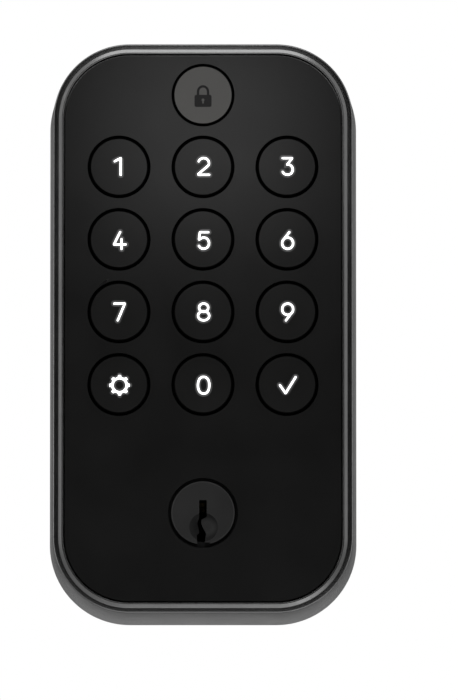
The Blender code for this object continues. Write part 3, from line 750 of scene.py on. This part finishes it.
def roundedPath(path, reach, steps=5):
    # every corner is cut by a short parabola that starts within reach of it, so no stroke folds
    if len(path) < 3:
        return path
    before, here, after = path[:-2], path[1:-1], path[2:]
    back, ahead = before - here, after - here
    backLength = np.linalg.norm(back, axis=1)[:, None]
    aheadLength = np.linalg.norm(ahead, axis=1)[:, None]
    start = here + back * np.minimum(reach / backLength, 0.45)
    end = here + ahead * np.minimum(reach / aheadLength, 0.45)
    t = np.linspace(0, 1, steps)[None, :, None]
    curve = (1 - t) ** 2 * start[:, None] + 2 * t * (1 - t) * here[:, None] + t ** 2 * end[:, None]
    return np.concatenate([path[:1], curve.reshape(-1, 2), path[-1:]])


def makeFigures():
    # every figure is drawn once for each layer, wider and lower each time
    for number, name in enumerate(keyNames):
        label = name.split("_")[1]
        across, up = faceMiddle(name)
        centre = (across + figure["shift"], up + figure["rowShifts"][number // 3])
        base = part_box(name)[0].y + figure["sink"]
        for title, finish, spill, height in figure["layers"]:
            if label == "settings":
                piece = makeGear(title, finish, centre, base - height, spill)
            else:
                grids = []
                for path in figurePaths[label]:
                    if not np.allclose(path[0], path[-1]):
                        path = roundedPath(path, figure["cornerReach"] + spill / mm)
                    grids.append(strokeGrid(path, figure["stroke"] + spill, height, base, centre))
                piece = putPiece(title + label.title(), grids, finish)
            place(piece, name, "key_plastic")


gear = dict(teeth=8, valley=1.92 * mm, tip=2.36 * mm, hole=1.36 * mm, bevel=0.03 * mm, depth=0.1 * mm)


def makeGear(title, finish, centre, top, spill):
    # outline: radius runs between valley and tip as a softened square wave of the angle
    angle = fullTurn(240)
    wave = np.tanh(4.0 * (np.cos(gear["teeth"] * angle) - 0.15)) * 0.5 + 0.5
    rim = gear["valley"] + (gear["tip"] - gear["valley"]) * wave + spill
    edge, foot = top + 0.02 * mm, top + gear["depth"]
    hole = np.full_like(rim, gear["hole"] - spill)
    radii = np.stack([hole, hole + gear["bevel"], rim - gear["bevel"], rim, rim, hole], axis=-1)
    depth = np.array([edge, top, top, edge, foot, foot])
    grid = asPoints(centre[0] + radii * np.cos(angle)[:, None], depth,
                    centre[1] + radii * np.sin(angle)[:, None])
    return putPiece(title + "Gear", [(grid, True, True)], finish)


padlock = dict(
    halfBow=0.3 * mm, rise=0.03 * mm, sink=0.02 * mm, bodyHalf=(1.95 * mm, 1.4 * mm),
    bodyCorner=0.4 * mm, bodyDrop=1.35 * mm, bodyRise=0.012 * mm, bodyDepth=0.2 * mm,
)


def makePadlock():
    # a plain padlock set into the button: a rounded body with a keyhole, and a bow above it
    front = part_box("lock_button")[0].y
    centre = faceMiddle("lock_button")
    bow = joinPaths(linePath((-1.15, -0.1), (-1.15, 0.75)), arcPath(0, 0.75, 1.15, 1.25, 180, 0),
                    linePath((1.15, 0.75), (1.15, -0.1)))
    grid = strokeGrid(bow, padlock["halfBow"], padlock["rise"], front + padlock["sink"], centre)
    spots, _ = roundedRing(*padlock["bodyHalf"], padlock["bodyCorner"], 8,
                           (centre[0], centre[1] - padlock["bodyDrop"]))
    hole = joinPaths(arcPath(0, -1.15, 0.34, 0.34, -60, 240), linePath((-0.2, -1.95), (0.2, -1.95)))
    for piece in (
        putPiece("padlockBow", [grid], "inlayBlack"),
        plateWithHoles("padlockBody", [spots, hole * mm + centre], front - padlock["bodyRise"],
                       front + padlock["bodyDepth"], "inlayBlack"),
    ):
        place(piece, "lock_button", "button_metal")


makeFigures()
makePadlock()
print("buttons and figures made")


plug = dict(
    head=7.46 * mm,
    headBevel=0.42 * mm,
    headSlope=0.45 * mm,
    neck=2.2 * mm,            # depths behind the plug's front
    shoulder=3.7 * mm,
    threadEnd=6.2 * mm,
    barrel=6.35 * mm,
    thread=5.6 * mm,
    lugInner=3.2 * mm,
    lugOuter=5.0 * mm,
    lugHalfAngle=12,
    scoop=3.28 * mm,
    scoopDepth=1.5 * mm,
    scoopCentre=(0.15 * mm, -3.3 * mm),
    keywayDepth=27.7 * mm,
)


def scoopBall():
    # the ball whose cap is the scoop: radius (r * r + d * d) / (2 d)
    radius = (plug["scoop"] ** 2 + plug["scoopDepth"] ** 2) / (2 * plug["scoopDepth"])
    spot = (plugAxis[0] + plug["scoopCentre"][0], plugFront + plug["scoopDepth"] - radius,
            plugAxis[1] + plug["scoopCentre"][1])
    return spot, radius


def prism(name, outline, front, rear):
    # the closed outline of (x, z) points between two depths, its two ends closed by one face each
    count = len(outline)
    points = np.zeros((2, count, 3))
    points[:, :, 0], points[:, :, 2] = outline[:, 0], outline[:, 1]
    points[0, :, 1], points[1, :, 1] = front, rear
    sides = gridFaces(2, count, False, True).tolist()
    mesh = bpy.data.meshes.new(name)
    mesh.from_pydata(points.reshape(-1, 3), [], sides + [list(range(count)), list(range(count, 2 * count))])
    piece = bpy.data.objects.new(name, cleaned(mesh))
    bpy.context.scene.collection.objects.link(piece)
    return piece


def sectorOutline(inner, outer, start, end, steps=8):
    # ring segment about the plug's axis, angles from straight up towards +X
    angle = np.radians(np.linspace(start, end, steps + 1))
    ray = np.stack([np.sin(angle), np.cos(angle)], axis=-1)
    ring = np.concatenate([ray * outer, ray[::-1] * inner])
    return ring + plugAxis


def keywayOutline():
    # straight slot above, warded neck, wide foot open at the rim
    right = [(0.86, 2.94, 0.08), (0.86, -0.85, 0.12), (-0.4, -1.5, 0.1), (-0.4, -2.4, 0.2),
             (0.7, -4.7, 0.12), (0.4, -6.8, 0.08), (1.6, -6.8, 0.08), (1.6, -8.5, 0)]
    left = [(-1.3, -8.5, 0), (-1.4, -5.1, 0.15), (-0.85, -4.5, 0.1), (-1.3, -2.2, 0.2),
            (-0.86, -1.05, 0.12), (-0.86, 2.94, 0.08)]
    corners = [(x * mm, z * mm, r * mm) for x, z, r in right + left]
    return softCorners(corners, 3) + plugAxis


def makePlug():
    # a turned profile, less the scoop's ball and the keyway's prism, with the lug behind
    front, neck = plugFront, plugFront + plug["neck"]
    bevel, slope = plug["head"] - plug["headBevel"], plug["headSlope"]
    body = turnedPiece("plugBody", softCorners([
        (0, front, 0),
        (bevel - 0.15 * mm, front, 0),
        (bevel, front, 0.08 * mm),
        (bevel + plug["headBevel"] / 2, front + slope / 2, 0),
        (plug["head"], front + slope, 0.1 * mm),
        (plug["head"], neck, 0.05 * mm),
        (plug["barrel"], neck, 0),
        (plug["barrel"], plug["shoulder"], 0.1 * mm),
        (plug["thread"], plug["shoulder"], 0),
        (plug["thread"], plug["threadEnd"], 0.2 * mm),
        (0, plug["threadEnd"], 0),
    ], 4), plugAxis, 144, "plugBlack", 28)
    spot, radius = scoopBall()
    polar = np.linspace(0, math.pi, 40)
    ball = np.stack([radius * np.sin(polar), spot[1] - radius * np.cos(polar)], axis=-1)
    scoop = turnedPiece("scoopCutter", ball, (spot[0], spot[2]), 96, "plugBlack")
    keyway = prism("keywayCutter", keywayOutline(), front - 1 * mm, front + plug["keywayDepth"])
    dress(carve(body, scoop, keyway), "plugBlack", 28)
    # painted shade: the plug's sides inside its hole get a near-black colour
    paintFaces(body, "gapShade", lambda centres: centres[:, 1] > front + slope / 2)
    # painted shade: the scoop's walls take the darker scoop finish
    paintFaces(body, "scoopShade", lambda centres: np.abs(
        np.linalg.norm(centres - np.array(spot), axis=1) - radius) < 0.05 * mm)
    place(body, "plug", "cylinder_metal", "cylinder_plug")
    half = plug["lugHalfAngle"]
    lug = prism("plugLug", sectorOutline(plug["lugInner"], plug["lugOuter"], -half, half),
                plug["threadEnd"] - 0.05 * mm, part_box("cylinder_plug")[1].y)
    return place(roundEdges(dress(lug, "plugBlack"), 0.12 * mm), "plug", "cylinder_metal")


plugCap = dict(radius=7.6 * mm, hole=3.9 * mm, bore=5.9 * mm, step=8.3 * mm, flutes=12, fluteDepth=0.055,
               fluteLand=0.35, fluteStart=6.9 * mm, fluteReach=0.5 * mm)


def makePlugCap():
    # The profile turned about the plug's axis. Outside the flute's start each point moves in by the
    # flute's depth times the part of cos(12 angle) above the land, for a pin spanner's grip.
    low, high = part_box("plug_cap")
    profile = softCorners([
        (plugCap["radius"], low.y, 0.2 * mm),
        (plugCap["radius"], high.y, 0.5 * mm),
        (plugCap["hole"], high.y, 0.25 * mm),
        (plugCap["hole"], plugCap["step"], 0.1 * mm),
        (plugCap["bore"], plugCap["step"], 0.1 * mm),
        (plugCap["bore"], low.y, 0.2 * mm),
    ], 5)
    grid = turned(profile, plugAxis, 192)
    angle = fullTurn(192)[:, None]
    flute = np.clip(np.cos(plugCap["flutes"] * angle), plugCap["fluteLand"], 1) - plugCap["fluteLand"]
    outside = np.clip((profile[:, 0] - plugCap["fluteStart"]) / plugCap["fluteReach"], 0, 1)[None]
    shrink = 1 - plugCap["fluteDepth"] * flute * outside
    grid[..., 0] = plugAxis[0] + (grid[..., 0] - plugAxis[0]) * shrink
    grid[..., 2] = plugAxis[1] + (grid[..., 2] - plugAxis[1]) * shrink
    return place(putPiece("plugCap", [(grid, True, True)], "turnedBrass"), "plug", "brass", "plug_cap")


def makeCylinderBody():
    body = refined("cylinder_body", "cylinderShell", "shellBlack", 0.15 * mm, 2, 50)
    place(body, "casing", "cylinder_metal", "cylinder_body")
    cover = refined("pin_chamber_cover", "chamberCover", "turnedBrass", 0.12 * mm)
    place(cover, "casing", "brass", "pin_chamber_cover")


def turnedUpright(profile, spot, steps=36):
    # the profile's (radius, z) points turned about a vertical axis through spot (x, y)
    grid = turned(profile, (0, 0), steps)
    return asPoints(spot.x + grid[..., 0], spot.y + grid[..., 2], grid[..., 1])


pin = dict(edge=0.12 * mm, cone=0.8 * mm, coneTip=0.5, waist=0.82, waistHalf=0.9 * mm, waistSlope=0.2 * mm)


def makePins():
    # key pins end in a cone, and every other driver pin has a waist like a spool
    for number in range(1, 6):
        low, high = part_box(f"key_pin_{number}")
        spot, radius = middle(f"key_pin_{number}"), (high.x - low.x) / 2
        cone = [(0, high.z, 0), (radius, high.z, pin["edge"]), (radius, low.z + pin["cone"], 0.2 * mm),
                (pin["coneTip"] * radius, low.z, 0.2 * mm), (0, low.z, 0)]
        low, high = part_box(f"driver_pin_{number}")
        mid = (low.z + high.z) / 2
        waist = radius * (pin["waist"] if number % 2 else 1.0)
        reach = pin["waistHalf"] + pin["waistSlope"]
        spool = [(0, high.z, 0), (radius, high.z, pin["edge"]), (radius, mid + reach, 0),
                 (waist, mid + pin["waistHalf"], 0), (waist, mid - pin["waistHalf"], 0),
                 (radius, mid - reach, 0), (radius, low.z, pin["edge"]), (0, low.z, 0)]
        for title, corners, finish, body in (("key", cone, "oiledBrass", "plug"),
                                             ("driver", spool, "turnedBrass", "casing")):
            grid = turnedUpright(softCorners(corners, 4), spot)
            piece = putPiece(f"{title}Pin{number}", [(grid, True, False)], finish)
            place(piece, body, "brass", f"{title}_pin_{number}")
        makeSpring(number)


spring = dict(wire=0.16 * mm, radius=1.12 * mm, turns=8, steps=200, around=10)


def makeSpring(number):
    # A tube round a helix. The helix climbs slowly at its ends, as t - sin(2 pi t) / (4 pi) does
    # in its middle, so the end coils lie nearly flat.
    low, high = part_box(f"pin_spring_{number}")
    spot, wire, radius = middle(f"pin_spring_{number}"), spring["wire"], spring["radius"]
    t = np.linspace(0, 1, spring["steps"])
    turn = 2 * math.pi * spring["turns"] * t
    climb = t - np.sin(2 * math.pi * t) / (4 * math.pi)
    height = low.z + wire + (high.z - low.z - 2 * wire) * climb
    out = np.stack([np.cos(turn), np.sin(turn), np.zeros_like(t)], axis=-1)
    core = np.stack([spot.x + radius * np.cos(turn), spot.y + radius * np.sin(turn), height], axis=-1)
    around = fullTurn(spring["around"])
    thick = np.full((len(t), 1), wire)
    thick[[0, -1]] = 0
    tube = (core[:, None] + (thick * np.cos(around))[..., None] * out[:, None]
            + (thick * np.sin(around))[..., None] * np.array([0, 0, 1.0]))
    piece = putPiece(f"pinSpring{number}", [(tube, False, True)], "springSteel", 60)
    return place(piece, "casing", "steel", f"pin_spring_{number}")


blade = dict(
    halfThickness=1.2 * mm,
    halfWidth=3.175 * mm,
    corner=0.35 * mm,
    start=7.3 * mm,
    firstScore=16 * mm,
    scorePitch=6.35 * mm,
    scoreDepth=0.28 * mm,
    scoreHalf=0.45 * mm,
    tip=0.4 * mm,
    tipInset=0.25 * mm,
    hubRadius=5.2 * mm,
    hubFront=6.5 * mm,
    hubRear=8.0 * mm,
    notch=(2.9 * mm, 6.2 * mm, -16, 106),     # radii, and angles that leave the lug its free play
)


def makeTailpiece():
    # rounded oblong section carried along Y; at each score its half thickness dips in a V
    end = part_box("tailpiece")[1].y
    scores = np.arange(blade["firstScore"], end - 3 * mm, blade["scorePitch"])
    marks = (scores[:, None] + np.array([-1, 0, 1]) * blade["scoreHalf"]).ravel()
    tip = np.array([0, 0.15 * mm, blade["tip"]])
    stations = np.sort(np.concatenate([[blade["start"]], marks, end - tip]))
    near = np.abs(stations[:, None] - scores[None]).min(1)
    dip = np.clip(1 - near / blade["scoreHalf"], 0, 1) * blade["scoreDepth"]
    spots, _ = roundedRing(blade["halfThickness"], blade["halfWidth"], blade["corner"], 6)
    narrow = np.clip((stations - (end - blade["tip"])) / blade["tip"], 0, 1) * blade["tipInset"]
    halfX = 1 - (dip + narrow) / blade["halfThickness"]
    halfZ = 1 - narrow / blade["halfWidth"]
    across = plugAxis[0] + spots[None, :, 0] * halfX[:, None]
    up = plugAxis[1] + spots[None, :, 1] * halfZ[:, None]
    grid = asPoints(across, stations[:, None], up)
    first, last = (np.broadcast_to(grid[k].mean(0), grid[:1].shape) for k in (0, -1))
    piece = putPiece("tailpieceBlade", [(np.concatenate([first, grid, last]), False, True)],
                     "bladeSteel", 25)
    place(piece, "tailpiece", "steel", "tailpiece")
    front, rear, radius = blade["hubFront"], blade["hubRear"], blade["hubRadius"]
    outline = np.array([(0, front), (radius, front), (radius, rear), (0, rear)])
    hub = turnedPiece("tailpieceHub", outline, plugAxis, 72, "bladeSteel")
    carve(hub, prism("hubNotch", sectorOutline(*blade["notch"], 24), front - mm, rear + mm))
    return place(roundEdges(dress(hub, "bladeSteel"), 0.1 * mm), "tailpiece", "steel")


makePlug()
makePlugCap()
makeCylinderBody()
makePins()
makeTailpiece()
print("key cylinder made")


def threadProfile(radius, start, end, pitch, depth):
    # saw teeth along Y: radius falls by depth halfway through each pitch
    count = int(abs(end - start) / pitch)
    y = np.linspace(start, end, 2 * count + 1)
    r = radius - depth * (np.arange(2 * count + 1) % 2)
    return np.stack([r, y], axis=-1)


screw = dict(
    shank=0.52,               # shares of the head's radius
    recess=0.62,
    arm=0.24,                 # half width of the recess's arms, as a share of their reach
    panHead=0.26,             # share of the length
    sunkHead=1.0 * mm,
    crown=0.35,
    tooth=0.14 * mm,
    pitch=0.6 * mm,
)


def makeScrew(node, title, finish):
    # pan or sunk head at the rear, shank with rings for its thread, cross recess
    low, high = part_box(node)
    spot = faceMiddle(node)
    headRadius = (high.x - low.x) / 2
    shank = headRadius * screw["shank"]
    sunk = title.startswith("back")
    headDepth = screw["sunkHead"] if sunk else (high.y - low.y) * screw["panHead"]
    neck = high.y - headDepth
    thread = threadProfile(shank, low.y + 0.9 * mm, neck - 0.4 * mm, screw["pitch"], screw["tooth"])
    if sunk:
        head = [(shank, neck), (headRadius, high.y - 0.12 * mm), (headRadius, high.y), (0, high.y)]
    else:
        dome = np.linspace(0, math.pi / 2, 8)[1:]
        crown = screw["crown"] * headDepth
        rim = high.y - crown
        cap = np.stack([headRadius * np.cos(dome), rim + crown * np.sin(dome)], axis=-1)
        head = [(shank, neck), (headRadius, neck), (headRadius, rim), *cap.tolist()]
    profile = np.concatenate([[(0, low.y), (0.35 * shank, low.y)], thread, head])
    piece = turnedPiece(title, profile, spot, 48, finish)
    reach = headRadius * screw["recess"]
    half = reach * screw["arm"]
    quarter = np.array([(half, half), (half, reach), (-half, reach)])
    plus = np.concatenate([quarter, quarter[:, ::-1] * (-1, 1), -quarter, quarter[:, ::-1] * (1, -1)])
    cutter = prism("recess", plus + spot, high.y - 0.75 * headDepth, high.y + mm)
    dress(carve(piece, cutter), finish, 35)
    return place(piece, "casing", "steel", node)


def makeScrews():
    for number in range(1, 5):
        makeScrew(f"back_screw_{number}", f"backScrew{number}", "zincSteel")
        makeScrew(f"keypad_screw_{number}", f"keypadScrew{number}", "zincSteel")
    for side in ("left", "right"):
        makeScrew(f"cylinder_screw_{side}", f"cylinderScrew{side.title()}", "zincSteel")


post = dict(
    radius=4.0 * mm,
    stud=1.8 * mm,
    shoulder=-19.5 * mm,      # where the stud that bites into the web ends
    studPitch=0.5 * mm,
    studTooth=0.16 * mm,
    bore=1.65 * mm,
    boreEdge=0.45 * mm,
    boreDepth=18 * mm,
    borePitch=0.7 * mm,
    boreTooth=0.22 * mm,
)


def makePosts():
    # outside plain with a rolled edge, inside ringed for the bolt's thread
    for side in ("left", "right"):
        node = f"through_bolt_post_{side}"
        low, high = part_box(node)
        shoulder, bore = post["shoulder"], post["bore"]
        stud = threadProfile(post["stud"], low.y + 0.3 * mm, shoulder - 0.1 * mm, post["studPitch"],
                             post["studTooth"])
        outside = softCorners([(post["stud"] - 0.2 * mm, shoulder, 0), (post["radius"], shoulder, 0.3 * mm),
                               (post["radius"], high.y, 0.35 * mm),
                               (bore + post["boreEdge"], high.y, 0.05 * mm),
                               (bore, high.y - post["boreEdge"], 0)], 5)
        rings = threadProfile(bore, high.y - 0.5 * mm, high.y - post["boreDepth"] + 0.5 * mm,
                              post["borePitch"], -post["boreTooth"])
        profile = np.concatenate([[(0, low.y), (post["stud"] - 0.3 * mm, low.y)], stud, outside[:-1],
                                  rings, [(0, high.y - post["boreDepth"])]])
        piece = turnedPiece("boltPost" + side.title(), profile, faceMiddle(node), 72, "zincSteel")
        place(piece, "casing", "steel", node)


makeScrews()
makePosts()
print("fasteners made")


def makeBack():
    plate = refined("back_plate", "backPlate", "backPlastic", 0.14 * mm, 2, 50)
    return place(plate, "casing", "back_plastic", "back_plate")


seal = dict(width=2.9 * mm, corner=18.2 * mm, ridge=0.16 * mm, edgeDrop=0.2 * mm, edge=0.05 * mm)


def makeGasket():
    # flat strip with two low ridges: y rises by a cosine bump at a third and two thirds across
    low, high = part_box("door_gasket")
    width, edge = seal["width"], seal["edge"]
    across = np.linspace(0, 1, 41)
    ridges = sum(np.clip(np.cos((across * 3 - k) * math.pi * 1.2), 0, 1) for k in (1, 2))
    fall = np.abs(2 * across - 1) ** 12
    rear = np.stack([across * width,
                     high.y + seal["ridge"] * (ridges - 1) - seal["edgeDrop"] * fall], axis=-1)
    front = np.array([(width, low.y + edge), (width - edge, low.y), (edge, low.y), (0, low.y + edge)])
    ring = roundedRing(high.x, high.z, seal["corner"], 32)
    piece = carriedPiece("doorGasket", ring, np.concatenate([rear, front]), "sealRubber", 60)
    return place(piece, "casing", "rubber", "door_gasket")


grommet = dict(lip=1.0 * mm, neckInset=1.5 * mm, holeInset=2.88 * mm, corner=3.6 * mm, soft=0.35 * mm)


def makeGrommet():
    # a lip at the front, a neck through the plate and an oblong hole for the cable
    low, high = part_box("cable_grommet")
    neck, hole, lipRear = grommet["neckInset"], grommet["holeInset"], low.y + grommet["lip"]
    profile = softCorners([
        (0, low.y, 0.3 * mm),
        (0, lipRear, 0.3 * mm),
        (neck, lipRear, 0),
        (neck, high.y, grommet["soft"]),
        (hole, high.y, grommet["soft"]),
        (hole, low.y, 0.3 * mm),
    ], 5)
    ring = roundedRing((high.x - low.x) / 2, (high.z - low.z) / 2, grommet["corner"], 10,
                       faceMiddle("cable_grommet"))
    piece = carriedPiece("cableGrommet", ring, profile, "sealRubber", 50)
    return place(piece, "casing", "rubber", "cable_grommet")


def makeInnerParts():
    for node, title, finish, slot, width in (
        ("silicone_keymat", "keymat", "milkySilicone", "silicone", 0.2 * mm),
        ("circuit_board", "circuitBoard", "boardGreen", "board", 0.08 * mm),
        ("controller_chip", "controllerChip", "chipBlack", "chip", 0.06 * mm),
        ("radio_module", "radioShield", "tinnedSteel", "shield_steel", 0.12 * mm),
        ("cable_socket", "cableSocket", "socketNylon", "socket_plastic", 0.15 * mm),
        ("buzzer", "buzzerCan", "chipBlack", "chip", 0.15 * mm),
    ):
        place(refined(node, title, finish, width), "casing", slot, node)


makeBack()
makeGasket()
makeGrommet()
makeInnerParts()
print("back, seals and inner parts made")


stage = dict(
    floorDrop=0.36,           # below the lock's lowest point, under the camera's line of sight
    cameraDistance=3.0,
    cameraTilt=-5.6,          # the lock is seen from a little below
    viewWidth=0.10507,        # what the view's width spans at the lock's front
    viewShape=700 / 458,      # height by width
    aimAcross=0.00597,        # the view's centre, to the right of the lock's axis
    aimUp=-0.0051,
    floorHalf=6.0,
)


def makeFloor():
    # a level sheet below the lock
    t = np.linspace(-stage["floorHalf"], stage["floorHalf"], 25)
    across, along = np.meshgrid(t, t, indexing="ij")
    level = np.full_like(across, caseLow.z - stage["floorDrop"])
    floor = putPiece("floor", [(np.stack([across, along, level], axis=-1), False, False)], "floorPaper")
    return floor


finishes["floorPaper"] = finishMaterial("floorPaper", dict(
    colour=grey(0.78), roughness=0.85, grainScale=300, bump=0.05, colourShift=0.01, speck=0.01))
makeFloor()


def aim(thing, spot, target):
    thing.location = spot
    thing.rotation_euler = (Vector(target) - Vector(spot)).to_track_quat("-Z", "Y").to_euler()


def makeCamera():
    camera = bpy.data.objects.new("camera", bpy.data.cameras.new("camera"))
    bpy.context.scene.collection.objects.link(camera)
    tilt = math.radians(stage["cameraTilt"])
    target = Vector((stage["aimAcross"], caseLow.y, stage["aimUp"]))
    back = Vector((0, -math.cos(tilt), math.sin(tilt)))
    aim(camera, target + back * stage["cameraDistance"], target)
    frameHeight = stage["viewWidth"] * stage["viewShape"]
    camera.data.sensor_width = 36
    camera.data.lens = 36 * stage["cameraDistance"] / frameHeight
    camera.data.clip_start, camera.data.clip_end = 0.05, 50
    bpy.context.scene.camera = camera


lockMiddle = (0, -0.02, 0)
softBoxes = (                 # name, place, what it points at, width, height, power
    ("topBox", (0, -0.4, 0.8), lockMiddle, 0.7, 0.35, 3.6),
    ("leftBox", (-0.9, -0.12, 0.05), lockMiddle, 0.3, 0.9, 3.6),
    ("rightBox", (0.9, -0.12, 0.05), lockMiddle, 0.3, 0.9, 2.8),
    ("lowBox", (0.1, -0.24, -0.33), lockMiddle, 0.6, 0.12, 0.55),
    ("panelGlow", (0, -0.125, 0.06), (0, 0, 0.06), 0.045, 0.045, 0.0145),
)


def makeLights():
    for name, spot, target, width, height, power in softBoxes:
        lamp = bpy.data.lights.new(name, "AREA")
        lamp.shape = "RECTANGLE"
        lamp.size, lamp.size_y = width, height
        lamp.energy = power
        box = bpy.data.objects.new(name, lamp)
        box.visible_camera = False
        bpy.context.scene.collection.objects.link(box)
        aim(box, spot, target)


worldBands = ((0.15, 0.004), (0.25, 1.7), (0.55, 1.7), (0.68, 0.42))   # front to rear: spot, level


def makeWorld():
    # what the camera sees is white; what the lock reflects is dim in front and pale at its sides
    world = bpy.data.worlds.new("studio")
    bpy.context.scene.world = world
    world.use_nodes = True
    tree = world.node_tree
    tree.nodes.clear()
    coords = addNode(tree, "TexCoord", {})
    split = addNode(tree, "SeparateXYZ", {"Vector": coords.outputs["Generated"]})
    facing = spread(tree, split.outputs["Y"], 0, 1, -1, 1)
    ramp = addNode(tree, "ValToRGB", {"Fac": facing})
    bands = ramp.color_ramp.elements
    bands.new(0.3)
    bands.new(0.6)
    for element, (position, level) in zip(bands, worldBands):
        element.position = position
        element.color = (*grey(level), 1)
    around = addNode(tree, "Background", {"Color": ramp.outputs["Color"]})
    seen = addNode(tree, "Background", {"Color": (1, 1, 1, 1)})
    mixer = addNode(tree, "MixShader", {
        "Fac": addNode(tree, "LightPath", {}).outputs["Is Camera Ray"],
        1: around.outputs["Background"],
        2: seen.outputs["Background"],
    })
    addNode(tree, "OutputWorld", {"Surface": mixer.outputs["Shader"]})


makeCamera()
makeLights()
makeWorld()
bpy.context.scene.view_settings.view_transform = "Standard"
print("stage made")
